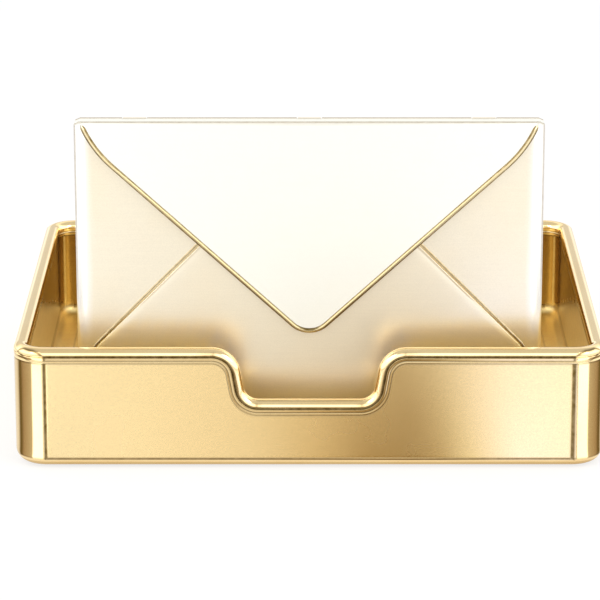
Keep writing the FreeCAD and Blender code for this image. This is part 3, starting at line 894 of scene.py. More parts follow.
# ---- Tray -----------------------------------------------------------------------
@dataclass(frozen=True)
class Notch:
    """The dip of the front wall, as its bead's middle line.

    Attributes:
        drop: How far the bead dips.
        flat: Length of its level part.
        bend: Radius of both bends.
        sweep: Degrees turned by each bend.
    """

    drop: float = 18.6 * MM
    flat: float = 35.2 * MM
    bend: float = 7.6 * MM
    sweep: float = 80.0

    def straight(self) -> float:
        """Return the length of the steep run between the bends."""
        turn = np.radians(self.sweep)
        return (self.drop - 2 * self.bend * (1 - np.cos(turn))) / np.sin(turn)

    def joint(self, below: float, low: float) -> Array:
        """Trace a line at a depth below the bead's middle, from the notch's middle out.

        Args:
            below: Depth below the bead's middle line.
            low: Height of that line in the middle of the notch.

        Returns:
            Points (x, z), with x rising.
        """
        route = Route(np.array([0.0, 0.0, low]), AXIS_X, AXIS_Y, AXIS_Z)
        route.run(self.flat / 2).bend(-AXIS_Y, self.bend + below, self.sweep, 22)
        route.run(self.straight(), np.linspace(0.2, 1.0, 5))
        return route.bend(AXIS_Y, self.bend - below, self.sweep, 22).table()[:, [0, 2]]

    def reach(self) -> float:
        """Return how far out the bead's middle line is level again."""
        return self.joint(0.0, 0.0)[-1, 0]


@dataclass
class Tray:
    """Sizes that every piece of the tray's wall shares."""

    width: float = 205.0 * MM
    length: float = 172.3 * MM
    height: float = 43.5 * MM
    corner: float = 11.5 * MM
    rim: float = 2.6 * MM
    rim_depth: float = 5.2 * MM
    wall: float = 4.8 * MM
    sheet: float = 1.0 * MM
    notch: Notch = Notch()

    @property
    def proud(self) -> float:
        """How far the bead stands out from the wall."""
        return self.rim - self.wall / 2

    @property
    def half(self) -> tuple[float, float]:
        """Half width and half length over the shell."""
        return self.width / 2 - self.proud, self.length / 2 - self.proud

    @property
    def shell_corner(self) -> float:
        """Radius of the shell's corners."""
        return self.corner - self.proud

    @property
    def wall_top(self) -> float:
        """Height of the joint between wall and moulding."""
        return self.height - self.rim_depth

    def joint_line(self) -> Array:
        """Return the joint's height over x, through the notch."""
        below = self.rim_depth - self.rim
        return self.notch.joint(below, self.wall_top - self.notch.drop)


@dataclass
class RimMoulding(Tray):
    """The round bead with its ribbed collar, carried round the tray and the notch."""

    BEAD: ClassVar[int] = 66
    COLLAR: ClassVar[int] = BEAD + 5
    # By the degrees turned round a front corner: place and width of the painted reflection line
    # that climbs over the bead, in degrees round it, and height in millimetres and strength of
    # the other painted line.
    CLIMB: ClassVar[Table] = ((0, 3, 12, 22, 42, 52, 58), (182, 176, 152, 138, 131, 148, 180))
    CLIMB_WIDTH: ClassVar[Table] = ((0, 10, 22, 45, 90), (6, 13, 13, 9, 9))
    FALL: ClassVar[Table] = ((20, 33, 42, 52), (-2.4, -1.6, -0.7, 0.1))
    FALL_STRENGTH: ClassVar[Table] = ((14, 24, 36, 54, 60), (0, 0.3, 0.8, 0.9, 0))
    # Place and width, in degrees round the bead, of the crest's painted line and of the painted
    # cross marks.
    CREST: ClassVar[Span] = (118, 5)
    CROSS: ClassVar[Span] = (158, 16)

    def section(self) -> tuple[Array, Array]:
        """Draw the section, with the outside at negative width.

        Returns:
            Points (m, 2) and how dark each is painted, 0 to 1: painted shade at the creases and
            along the collar.
        """
        bead = arc((0.0, 0.0), self.rim / MM, 177.0, -22.6, self.BEAD)
        inner = np.array([(2.22, -1.02), (2.3, -1.1), (2.4, -1.3), (2.4, -2.45), (2.25, -2.6)])
        outer = np.array([(-2.0, -2.6), (-2.3, -2.58), (-2.45, -2.5), (-2.475, -2.38),
                          (-2.43, -2.1), (-2.385, -1.8), (-2.37, -1.62), (-2.36, -1.54),
                          (-2.36, -1.48), (-2.41, -1.4), (-2.49, -1.28), (-2.5, -1.1),
                          (-2.51, -0.75), (-2.5, -0.54), (-2.4, -0.44), (-2.2, -0.32),
                          (-2.1, -0.16), (-2.12, 0.0), (-2.35, 0.06)])
        # Painted shade along the collar, one value per outer point; the bead's ends and inner
        # side get some too.
        collar_shade = [1, 0.9, 0.45, 0.25, 0.2, 0.3, 0.8, 0.9, 0.85, 0.5, 0.15, 0, 0.4, 1, 1, 1, 1, 1, 1]
        step = np.arange(self.BEAD)
        ends = groove(step, 2.6) + 0.5 * ease(step, 56, 65)
        deep = np.concatenate([ends, [0.7, 0.6, 0.55, 0.5, 0.3], collar_shade])
        return np.vstack([bead, inner, outer]) * MM, deep

    def shade_lines(self, table: Array, section: Array, deep: Array) -> Array:
        """Work out the painted shade over the rim, with painted reflection lines round each front
        corner.

        On a front corner the painted shade of the groove and the collar is taken away, and the
        ribs end in a short painted upright line. One painted reflection line climbs over the bead
        to the middle of the corner, where a second one leads down across the collar. A faint
        painted line runs along the crest at the bottom of the notch, and short painted marks
        cross the bead where its runs meet bends.

        Args:
            table: Rows of the route.
            section: Points of the section.
            deep: How dark each point of the section is painted.

        Returns:
            Mask over the grid, (rows, section points).
        """
        out = np.abs(table[:, :1])
        past_x = out - (self.width / 2 - self.corner)
        past_y = -table[:, 1:2] - (self.length / 2 - self.corner)
        front = past_y > 0
        turn = np.degrees(np.arctan2(np.clip(past_x, 0, None), np.clip(past_y, 1e-6, None)))
        turn = np.where(front, turn, 90.0)
        around = np.degrees(np.arctan2(section[:, 1], section[:, 0])) % 360
        order, height = np.arange(len(section)), section[:, 1]
        bead, collar = order < self.BEAD, order >= self.COLLAR
        entry = ease(turn, 1.5, 4.5)

        middle, width = np.interp(turn, *self.CLIMB), np.interp(turn, *self.CLIMB_WIDTH)
        over = entry * (1 - ease(turn, 54, 60)) * groove(around - middle, width) * bead
        fall, strong = np.interp(turn, *self.FALL) * MM, np.interp(turn, *self.FALL_STRENGTH)
        down = strong * groove(height - fall, 0.4 * MM) * (collar | (order < 5))
        ribs = collar & (height > -1.7 * MM)
        ends = 0.85 * groove(past_x - 0.1 * MM, 0.35 * MM) * ribs

        dip = (1 - ease(out, 17 * MM, 20 * MM)) * groove(around - self.CREST[0], self.CREST[1])
        meets = (self.notch.flat / 2 + 0.6 * MM, self.notch.reach() - 0.5 * MM)
        marks = sum(groove(out - place, 0.8 * MM) for place in meets)
        marks = marks * groove(around - self.CROSS[0], self.CROSS[1])
        crest = 0.6 * (dip + marks) * bead

        # Painted highlight: the front corners lose the painted shade of groove and collar.
        lit_corner = entry * (1 - ease(turn, 80, 88)) * (
            (collar & (height > -2.45 * MM)) | (order < 7))
        return np.clip(deep * (1 - 0.9 * lit_corner) + (over + down + ends + crest) * front, 0, 1)

    def build(self) -> None:
        """Carry the section round the whole rim."""
        notch = self.notch
        start = np.array([0.0, self.rim - self.length / 2, self.height - self.rim - notch.drop])
        side, back = self.length - 2 * self.corner, self.width - 2 * self.corner
        front = back / 2 - notch.reach()
        run = np.linspace(0.1, 1.0, 10)
        close = np.append(run[:-1], [0.97, 0.985, 0.993, 1.0])
        sink, lift = ((axis, notch.bend, notch.sweep) for axis in (AXIS_Y, -AXIS_Y))
        corner = (AXIS_Z, self.corner - self.rim, 90)
        route = Route(start, AXIS_X, AXIS_Y, AXIS_Z)
        route.run(notch.flat / 2, run).bend(*lift).run(notch.straight(), run).bend(*sink)
        route.run(front, close).bend(*corner, 48).run(side, run).bend(*corner)
        route.run(back, run).bend(*corner).run(side, run).bend(*corner, 48)
        route.run(front, np.append(1 - close[-2::-1], 1.0)).bend(*sink)
        route.run(notch.straight(), run).bend(*lift).run(notch.flat / 2, run[:-1])
        section, deep = self.section()
        table = route.table()
        # The crease mask carries painted shade and painted reflection lines.
        masks = {"crease": self.shade_lines(table, section, deep)}
        piece = surface("rim_bead", carried(section, table), masks, ring=True)
        fit(piece, Body.TRAY, POLISHED_BRASS, "rim_moulding")


@dataclass
class Perimeter:
    """Columns of a rounded rectangle, shared by all the rings of a wall.

    Attributes:
        front: Places along the front's straight, -1 to 1.
        plain: Places along the other straights, -1 to 1.
        corner: Places round a corner, 0 to 1.
    """

    QUARTERS: ClassVar[Array] = np.array([(0.0, -1.0), (1.0, 0.0), (0.0, 1.0), (-1.0, 0.0)])

    front: Array
    plain: Array
    corner: Array

    @property
    def sides(self) -> tuple[Array, Array, Array, Array]:
        """Places along the four straights, anticlockwise from the front."""
        return self.front, self.plain, self.plain, self.plain

    def ring(self, half_x: float, half_y: float, radius: float) -> Array:
        """Return one ring, counted anticlockwise from the front's left end.

        Straights run between the corners' ends, and each corner's points are its
        centre plus the radius times (cos a, sin a).

        Args:
            half_x: Half width of the ring.
            half_y: Half length of the ring.
            radius: Radius of its corners.

        Returns:
            Points (x, y), one per column.
        """
        middle = (half_x - radius, half_y - radius)
        rows = []
        for index, share in enumerate(self.sides):
            out, along = self.QUARTERS[index], self.QUARTERS[(index + 1) % 4]
            straight, depth = middle[index % 2], middle[1 - index % 2]
            rows.append(out * (depth + radius) + np.outer(share * straight, along))
            angle = np.radians(90.0 * (index - 1 + self.corner))
            rows.append(out * depth + along * straight
                        + radius * np.column_stack([np.cos(angle), np.sin(angle)]))
        return np.vstack(rows)

    def inward(self) -> Array:
        """Find the direction into the tray at every column.

        Returns:
            Level unit vectors, one per column.
        """
        rows = []
        for index, share in enumerate(self.sides):
            angle = np.radians(90.0 * (index - 1 + np.concatenate([0 * share, self.corner])))
            rows.append(-np.column_stack([np.cos(angle), np.sin(angle), 0 * angle]))
        return np.vstack(rows)

    def border(self, half: tuple[float, float], radius: float) -> Array:
        """Return each column's distance past the end of its flat panel.

        Args:
            half: Half width and half length of the ring.
            radius: Radius of its corners.

        Returns:
            Distances in metres, negative on the flats.
        """
        turn = np.minimum(self.corner, 1 - self.corner) * radius * np.pi / 2
        return np.concatenate([part for index, share in enumerate(self.sides) for part in (
            (np.abs(share) - 1) * (half[index % 2] - radius), turn)])

    def is_front(self) -> Array:
        """Tell which columns lie on the front's straight."""
        total = sum(len(share) + len(self.corner) for share in self.sides)
        return np.arange(total) < len(self.front)


Ring = tuple[float, float, float, float]
Step = tuple[float, float, float]


def rounded(radius: float, inset: float, height: float, degrees: Array) -> list[Step]:
    """List steps round a foot: inset + r (1 - sin a), height + r (1 - cos a), share 0."""
    return [(inset + radius * (1 - np.sin(a)), height + radius * (1 - np.cos(a)), 0.0)
            for a in np.radians(degrees)]


@dataclass
class Wall(Tray):
    """A wall of the tray as rings stacked on the columns of its perimeter."""

    NEAR: ClassVar[Array] = np.array([0.1, 0.2, 0.3, 0.4, 0.55, 0.8, 1.3, 2.5]) * MM

    def perimeter(self) -> Perimeter:
        """Set the columns: close together beside the corners and along the notch.

        Returns:
            The columns that all rings of the wall share.
        """
        flat_x, flat_y = (half - self.shell_corner for half in self.half)
        line = self.joint_line()[:, 0]
        front = np.concatenate([line, np.linspace(line[-1] + 4 * MM, flat_x - 4 * MM, 8),
                                flat_x - self.NEAR])
        plain = np.concatenate([np.linspace(0, flat_y - 4 * MM, 7), flat_y - self.NEAR])
        turn = np.append(0.0, self.NEAR / (self.shell_corner * np.pi / 2))
        corner = np.concatenate([turn, np.linspace(0.16, 0.84, 19), 1 - turn])
        return Perimeter(both_ways(front / flat_x, 6), both_ways(plain / flat_y, 6),
                         np.unique(np.round(corner, 6)))

    def tops(self, columns: Perimeter) -> Array:
        """Find the height of the joint with the moulding.

        Args:
            columns: Columns of the wall.

        Returns:
            One height per column.
        """
        x = np.abs(columns.front) * (self.half[0] - self.shell_corner)
        heights = np.full(len(columns.is_front()), self.wall_top)
        heights[columns.is_front()] = np.interp(x, *self.joint_line().T)
        return heights

    def stacked(self, columns: Perimeter, rings: list[Ring], level: float) -> Array:
        """Stack rings into a grid with one row per column and one point per ring.

        A ring's height is its own plus its share of what the wall rises above the level.

        Args:
            columns: Columns of the wall.
            rings: Half width, corner radius, height and share of the wall, for each ring.
            level: Height at which the shares start.

        Returns:
            Grid of points, (columns, rings, 3).
        """
        slim = self.half[0] - self.half[1]
        plans = np.stack([columns.ring(x, x - slim, radius) for x, radius, *_ in rings], axis=1)
        heights, shares = np.array(rings)[:, 2:].T
        return np.dstack([plans, heights + shares * (self.tops(columns)[:, None] - level)])


@dataclass
class OuterShell(Wall):
    """The pressed outer wall: satin panels framed by a fine line darkened with painted shade,
    polished corners.

    Attributes:
        gap: Height of the foot over the desk.
        foot: Radius of the rounded foot.
        flange: Width of the level flange under the foot.
        line_depth: Depth of the framing line.
        line_width: Its width.
        line_shift: How far it lies past the end of the flat panel.
        foot_line: Height of its lower run.
        brown_at: Place across, where the lower run's painted shade is fainter.
        brown_width: Width of that stretch.
    """

    # Shares of the framing line's width in its lower, right and left runs.
    RUNS: ClassVar[tuple[float, float, float]] = (0.85, 1.4, 1.0)

    gap: float = 0.5 * MM
    foot: float = 4.7 * MM
    flange: float = 13.0 * MM
    line_depth: float = 0.12 * MM
    line_width: float = 0.5 * MM
    line_shift: float = 0.1 * MM
    foot_line: float = 3.8 * MM
    brown_at: float = 29.0 * MM
    brown_width: float = 24.0 * MM

    def rings(self) -> tuple[list[Ring], float]:
        """List the rings: underside, foot, wall, lip, and back down inside.

        Returns:
            The rings and the height at which the wall's shares start.
        """
        half, radius = self.half[0], self.shell_corner
        top, floor = self.gap + self.foot, self.gap + self.sheet
        level = top + self.NEAR[-1]
        steps = rounded(self.foot, 0.0, self.gap,
                        np.concatenate([np.linspace(0, 60, 9), np.linspace(64, 90, 14)]))
        steps += [(0.0, top + step, 0.0) for step in self.NEAR]
        steps += [(0.0, level, share) for share in (0.15, 0.35, 0.6, 0.8, 0.92, 0.98, 1.0)]
        steps += [(self.sheet, level, share) for share in (1.0, 0.0)]
        steps += rounded(self.foot - self.sheet, self.sheet, floor, np.linspace(90, 0, 8))
        rings = [(half - n, radius - n, z, share) for n, z, share in steps]
        under, over = ((half - self.flange, radius, z, 0.0) for z in (self.gap, floor))
        return [under, *rings, over], level

    def build(self) -> None:
        """Stack the wall, press the framing line into it and darken it with painted shade."""
        columns = self.perimeter()
        rings, level = self.rings()
        grid = self.stacked(columns, rings, level)
        x, y, z = np.moveaxis(grid, 2, 0)
        sizes = np.array([half for half, *_ in rings])
        lip = np.argmax(sizes == self.half[0] - self.sheet)
        outside = (sizes >= self.half[0] - self.foot) & (np.arange(len(rings)) < lip)

        beside = columns.border(self.half, self.shell_corner)[:, None]
        beneath = self.foot_line - z
        distance = np.maximum(beside - self.line_shift, beneath)
        lower, right, left = self.RUNS
        thin = np.where(beneath > beside, lower, np.where(x > 0, right, left)) * self.line_width
        pressed = groove(distance, thin) * outside * self.line_depth
        # Painted shade darkens the framing line, fainter on its lower run and fainter still at
        # brown_at.
        brown = 1 - 0.5 * groove(x - self.brown_at, self.brown_width) * (y < 0)
        faint = np.where(beneath > beside, 0.8 * brown, 1.0)
        dark = faint * (1 - ease(np.abs(distance), 0.6 * thin, 1.5 * thin))
        # Painted shade: the lower run goes on faintly round the corners, and the foot and the
        # joint with the moulding are darkened as well.
        dark += 0.35 * groove(beneath, 0.3 * MM) * (beside > 0)
        dark += 0.22 * (1 - ease(z, 1.2 * MM, 2.0 * MM))
        dark += 0.4 * groove(self.tops(columns)[:, None] - z, 0.3 * MM)
        grid = grid + columns.inward()[:, None, :] * pressed[:, :, None]
        masks = {"crease": np.clip(dark * outside, 0, 1),
                 "satin": (1 - ease(distance, -0.5 * MM, -0.1 * MM)) * outside}
        piece = surface("shell_wall", grid, masks, ring=True)
        fit(piece, Body.TRAY, POLISHED_BRASS, "outer_shell")


@dataclass
class InnerTub(Wall):
    """The drawn tub: polished inner walls, a swept floor fillet and a level floor.

    Attributes:
        floor: Height of the floor.
        fillet: Radius between wall and floor.
        middle: Corner radius of the rings inside the floor.
        seat_inset: Distance of the floor's fine line from the wall.
        side_light_slope: Parts of y and z in the slope along which the painted light on the side
            walls fades.
        side_light_fade: Places on that slope where it starts and ends to fade.
    """

    # Insets from the wall of the rings under the floor and on it, in millimetres.
    UNDER: ClassVar[tuple[float, ...]] = (80.0, 50.0, 15.0)
    FLOOR: ClassVar[tuple[float, ...]] = (6.0, 8.3, 8.7, 9.0, 9.3, 9.7, 15.0, 30.0, 50.0, 65.0,
                                          80.0)

    floor: float = 6.8 * MM
    fillet: float = 3.8 * MM
    middle: float = 1.5 * MM
    seat_inset: float = 8.0 * MM
    side_light_slope: tuple[float, float] = (0.284, 0.9588)
    side_light_fade: tuple[float, float] = (29.0 * MM, 35.0 * MM)

    def rings(self) -> tuple[list[Ring], float]:
        """List the rings: underside, outer wall, lip, inner wall, fillet and floor.

        Returns:
            The rings and the height at which the wall's shares start.
        """
        inset, under = self.wall - self.sheet, self.floor - self.sheet
        half, radius = self.half[0] - inset, self.shell_corner - inset
        level = self.floor + self.fillet + 1.0 * MM
        steps = rounded(self.fillet + self.sheet, 0.0, under, np.linspace(0, 90, 8))
        steps += [(0.0, level, 0.0), (0.0, level, 1.0), (self.sheet, level, 1.0)]
        steps += [(self.sheet, level, share) for share in (0.985, *np.linspace(0.95, 0.0, 20))]
        steps += rounded(self.fillet, self.sheet, self.floor, np.linspace(90, 0, 18))
        rings = [(half - n * MM, self.middle, under, 0.0) for n in self.UNDER]
        rings += [(half - n, radius - n, z, share) for n, z, share in steps]
        rings += [(half - n * MM, self.middle, self.floor, 0.0) for n in self.FLOOR]
        return rings, level

    @staticmethod
    def corner_lines(columns: Perimeter) -> tuple[Array, Array]:
        """Paint light and shade on the upright corners: a painted highlight in the middle between
        painted dark lines.

        Args:
            columns: Columns of the wall.

        Returns:
            Strength of the painted highlight and of the painted dark lines at every column.
        """
        across = np.minimum(columns.corner, 1 - columns.corner)
        bright, dark = (np.concatenate([part for share in columns.sides
                                        for part in (0 * share, line)])
                        for line in (groove(across - 0.5, 0.04),
                                     0.3 * groove(across - 0.36, 0.09)))
        return bright, dark

    def build(self) -> None:
        """Stack the tub from the middle of its underside to the middle of its floor."""
        columns = self.perimeter()
        rings, level = self.rings()
        grid = np.swapaxes(self.stacked(columns, rings, level), 0, 1)
        y, z = grid[:, :, 1], grid[:, :, 2]
        inset = self.half[0] - np.array([[half] for half, *_ in rings]) - self.wall
        flat = ease(inset, 0.08 * self.fillet, 0.2 * self.fillet)
        bright, dark = self.corner_lines(columns)
        # Floor and front wall are satin, in the bright lit tone that the walls' painted shade is
        # set against; the same tone is a painted highlight along the corners' middles and painted
        # light on the side walls below a limit that sinks towards the back.
        side = np.abs(grid[:, :, 0]).max(axis=0) > self.half[0] - self.corner + 2 * MM
        slope = self.side_light_slope[0] * y + self.side_light_slope[1] * z
        side_light = (1 - ease(slope, *self.side_light_fade)) * side
        satin = np.maximum(np.maximum(flat, columns.is_front()),
                           np.maximum(bright, side_light) * (1 - flat))
        # Painted shade darkens the wall under the moulding, where it runs into the fillet, and
        # along the corners' dark lines; a fine dark line runs round the floor.
        lip = 0.7 * groove(self.tops(columns) - z, 0.25 * MM)
        lines = (0.6 * groove(inset - 0.05 * self.fillet, 0.3 * MM)
                 + 0.35 * groove(inset - self.seat_inset, 0.35 * MM))
        crease = np.maximum(np.maximum(lip, dark * (1 - flat)), lines)
        piece = surface("tub_lining", grid, {"crease": crease, "satin": satin})
        fit(piece, Body.TRAY, TUB_BRASS_LIT_AND_SHADED, "inner_tub")


def revolved(profile: Array, steps: int) -> Array:
    """Turn a profile about an upright axis: (r cos a, r sin a, z).

    Args:
        profile: Points (r, z).
        steps: Number of columns round the axis.

    Returns:
        Grid of points, (profile points, steps, 3).
    """
    angles = np.linspace(0, 2 * np.pi, steps + 1)[:-1]
    radii, z = profile[:, :1], np.repeat(profile[:, 1:], steps, axis=1)
    return np.dstack([radii * np.cos(angles), radii * np.sin(angles), z])


@dataclass
class BaseFittings:
    """Plate, pillars, screws and soft pads of the underside.

    Attributes:
        pad_radius: Radius of a pad.
        pad_height: Its height, and that of the plate's underside.
        pad_inset: How far a pad's middle lies inside the tray's outline.
        pad_edge: Radius of the pad's rounded rim.
        screw_radius: Radius of a screw's head.
        head_height: Height of the head.
        slot_width: Width of its driver slot.
        slot_depth: Depth of the slot.
        screw_spread: Place of the screws, (x, y).
    """

    pad_radius: float = 7.0 * MM
    pad_height: float = 1.5 * MM
    pad_inset: float = 27.0 * MM
    pad_edge: float = 0.45 * MM
    screw_radius: float = 2.7 * MM
    head_height: float = 1.1 * MM
    slot_width: float = 0.7 * MM
    slot_depth: float = 0.5 * MM
    screw_spread: tuple[float, float] = (46.0 * MM, 40.15 * MM)

    def pads(self) -> None:
        """Turn the pads: flat top, rounded rim, and an underside cut by fine rings."""
        edge = arc((self.pad_radius - self.pad_edge, self.pad_edge), self.pad_edge, -90, 0, 8)
        spokes = np.linspace(0.6 * MM, self.pad_radius - 0.6 * MM, 24)
        ribs = 0.05 * MM * (1 + np.cos(spokes / (0.9 * MM) * 2 * np.pi))
        top = np.array([(self.pad_radius, self.pad_height), (0.5 * MM, self.pad_height)])
        pad = revolved(np.vstack([np.column_stack([spokes, ribs]), edge, top]), 48)
        out, along = (size / 2 - self.pad_inset for size in (Tray.width, Tray.length))
        for row, sy in (("front", -1), ("back", 1)):
            for hand, sx in (("left", -1), ("right", 1)):
                piece = surface(f"cushion_pad_{row}_{hand}", pad + (sx * out, sy * along, 0.0))
                fit(piece, Body.TRAY, RUBBER, f"foot_pad_{row}_{hand}")

    def screws(self) -> None:
        """Turn the four screws: a low dome cut by a driver slot."""
        shares = np.array([0.02, 0.15, 0.3, 0.45, 0.6, 0.75, 0.88, 0.96, 1.0])
        rise = self.head_height * np.append(np.sqrt(1 - 0.75 * shares ** 2), [0.0, 0.0])
        radii = np.append(self.screw_radius * shares, [self.screw_radius, 0.2 * MM])
        head = revolved(np.column_stack([radii, self.pad_height - rise]), 64)
        slot = (np.abs(head[:, :, 1]) < self.slot_width / 2) & (rise[:, None] > 0)
        head[:, :, 2] += self.slot_depth * slot
        for index, (sx, sy) in enumerate(((-1, -1), (1, -1), (-1, 1), (1, 1)), start=1):
            middle = np.array([sx * self.screw_spread[0], sy * self.screw_spread[1], 0.0])
            piece = surface(f"slotted_screw_{index}", head + middle, crisp=35.0)
            fit(piece, Body.TRAY, STEEL, "base_screws")

    def build(self) -> None:
        """Make the pads and screws, and dress the plate and pillars."""
        self.pads()
        self.screws()
        keep(BRUSHED_BRASS, "base_plate", "envelope_channel")
        keep(STEEL, "standoffs", "channel_studs", "channel_nuts")


# ---- Envelope -------------------------------------------------------------------
@dataclass
class Envelope:
    """Sizes that the envelope's pieces share, front to back and bottom to top."""

    width: float = 162.0 * MM
    bottom: float = 8.1 * MM
    top: float = 119.5 * MM
    sheet: float = 0.6 * MM
    panel_front: float = -61.4 * MM
    side_front: float = -66.4 * MM
    pocket_front: float = -67.0 * MM
    flap_front: float = -68.65 * MM
    side_top: float = 118.4 * MM
    fold: float = 1.2 * MM
    pocket_half: float = 75.2 * MM
    pocket_side: float = 24.6 * MM
    pocket_height: float = 80.0 * MM
    pocket_bend: float = 8.7 * MM
    pocket_top_bend: float = 9.0 * MM
    seam_angle: float = 45.3
    lift: float = 0.3 * MM
    reflection_sides: tuple[float, float] = (16.0 * MM, 40.0 * MM)
    reflection_fade: tuple[float, float] = (-2.0 * MM, 7.0 * MM)

    def seam_run(self) -> float:
        """Work out the seam's straight part from what its bends leave of the height.

        Returns:
            Its length.
        """
        turn, rest = np.radians(90 - self.seam_angle), np.radians(self.seam_angle)
        rise = (self.pocket_height - self.fold - self.pocket_side
                - self.pocket_bend * np.sin(turn) - self.pocket_top_bend * (1 - np.cos(rest)))
        return rise / np.sin(rest)

    def tray_reflection(self, x: Array, z: Array) -> Array:
        """Tell where the tray's gold is painted on the lacquer as a reflection: low, and lower in
        the middle.

        The limit lies at the rim's height and sinks by the notch's drop towards
        the middle, along a smooth curve; the tone fades out above it.

        Args:
            x: Places across.
            z: Heights.

        Returns:
            Mask that is 1 up to the limit and fades to 0 above it.
        """
        tray = Tray()
        sunk = tray.notch.drop * (1 - ease(np.abs(x), *self.reflection_sides))
        return 1 - ease(z - (tray.height - tray.rim - sunk), *self.reflection_fade)

    def seam_route(self, depth: float, lift: float, shares: Array) -> Route:
        """Start a route up the pocket's right edge and along its seam.

        Args:
            depth: Where it runs, along Y.
            lift: Height of its start over the fold.
            shares: Places of its points on the upright edge.

        Returns:
            The route, up to the end of the seam's straight part.
        """
        start = np.array([self.pocket_half, depth, self.bottom + self.fold + lift])
        route = Route(start, AXIS_Z, AXIS_X, -AXIS_Y).run(self.pocket_side - lift, shares)
        route.bend(-AXIS_Y, self.pocket_bend, 90 - self.seam_angle)
        return route.run(self.seam_run(), np.linspace(0.1, 1.0, 10))

    def pocket_edge(self) -> Array:
        """Trace the bottom flap's right edge upwards, (x, z) with z rising."""
        route = self.seam_route(0.0, 0.0, np.ones(1))
        return route.bend(-AXIS_Y, self.pocket_top_bend, self.seam_angle).table()[:, [0, 2]]

    @staticmethod
    def both_hands(label: str, node: str, right: Array, masks: dict[str, Array], slot: str,
                   finish: MetalFinish) -> None:
        """Make a piece of the right side and its mirror image on the left.

        Args:
            label: Name of the pieces, without the hand.
            node: Name of the nodes that they replace, without the hand.
            right: Grid of the right one.
            masks: Values over the grid.
            slot: Name of their material slot; not used.
            finish: Their finish.
        """
        for hand, side in (("right", 1.0), ("left", -1.0)):
            piece = surface(f"{label}_{hand}", right * np.array([side, 1.0, 1.0]), masks)
            fit(piece, Body.ENVELOPE, finish, f"{node}_{hand}")


@dataclass
class SideFlap(Envelope):
    """One side of the envelope: wall, rounded upright edge and pointed front.

    Attributes:
        edge: Radius of the rounded upright edge.
        corner: Radius of the upper corner.
        tip: Place of the front's point, (x, z).
        foot: Half width left free at the fold.
        highlight_fade: Distances from the edge between which its painted highlight, a pale tone,
            fades.
        rim_fade: Heights between which the painted dark line on the edge grows.
        reflection_edge: Height where the edge's painted reflection of the tray starts, and its
            width per height.
    """

    edge: float = 4.2 * MM
    corner: float = 1.8 * MM
    tip: tuple[float, float] = (20.0 * MM, 64.1 * MM)
    foot: float = 61.8 * MM
    highlight_fade: tuple[float, float] = (2.4 * MM, 6.5 * MM)
    rim_fade: tuple[float, float] = (45.0 * MM, 65.0 * MM)
    reflection_edge: tuple[float, float] = (56.0 * MM, 0.09)

    def build(self) -> None:
        """Stack the flap's plan loop from bottom to top, its front as long as its outline."""
        half, low = self.width / 2, self.bottom + self.fold + self.lift
        bent, point, top = half - self.edge, self.tip[1], self.side_top
        heights = np.unique(np.concatenate([
            [self.bottom + 0.05 * MM, low - 0.02 * MM, low],
            np.linspace(low + 1 * MM, point, 26), np.linspace(point, top, 26),
            top - self.corner * (1 - np.sin(np.linspace(0, np.pi / 2, 10)))]))
        ends = np.interp(heights, (self.bottom, low - 0.01 * MM, low, point, top),
                         (bent, bent, self.foot, self.tip[0] + 2 * MM, bent))
        middle = (bent, self.side_front + self.edge)
        outer = np.vstack([[(half, self.panel_front)], arc(middle, self.edge, 0, -90, 20)])
        inner = np.vstack([arc(middle, self.edge - self.sheet, -90, 0, 20),
                           [(half - self.sheet, self.panel_front)]])
        across = bent - np.outer(bent - ends, np.linspace(0.04, 1.0, 24))
        front = np.dstack([across, np.full(across.shape, self.side_front)])
        plan = joined(len(heights), outer, front, front[:, ::-1] + (0.0, self.sheet), inner)
        above = np.clip(heights - (top - self.corner), 0, None)
        limit = half - self.corner + np.sqrt(np.clip(self.corner ** 2 - above ** 2, 0, None))
        x = plan[:, :, 0] = np.minimum(plan[:, :, 0], limit[:, None])
        z = np.broadcast_to(heights[:, None], x.shape)

        # Painted shade draws a dark line down the outer edge, a painted highlight pales the
        # rounded edge, and a painted reflection of the tray's gold warms the lower part and the
        # edge.
        inset, rim = half - x, np.zeros(x.shape[1])
        rim[:len(outer)] = 0.8 * (1 - ease(half - outer[:, 0], 0.5 * MM, 1.0 * MM))
        low_edge = 1 - ease(inset - self.reflection_edge[1] * (self.reflection_edge[0] - z),
                            -0.3 * MM, 0.3 * MM)
        masks = {"crease": rim * (0.15 + 0.85 * ease(z, *self.rim_fade)),
                 "satin": 1 - ease(inset, *self.highlight_fade),
                 "painted_reflection": np.maximum(self.tray_reflection(x, z), low_edge)}
        self.both_hands("side_wing", "side_flap", np.dstack([plan, z]), masks, "pearl_lacquer",
                        PEARL)


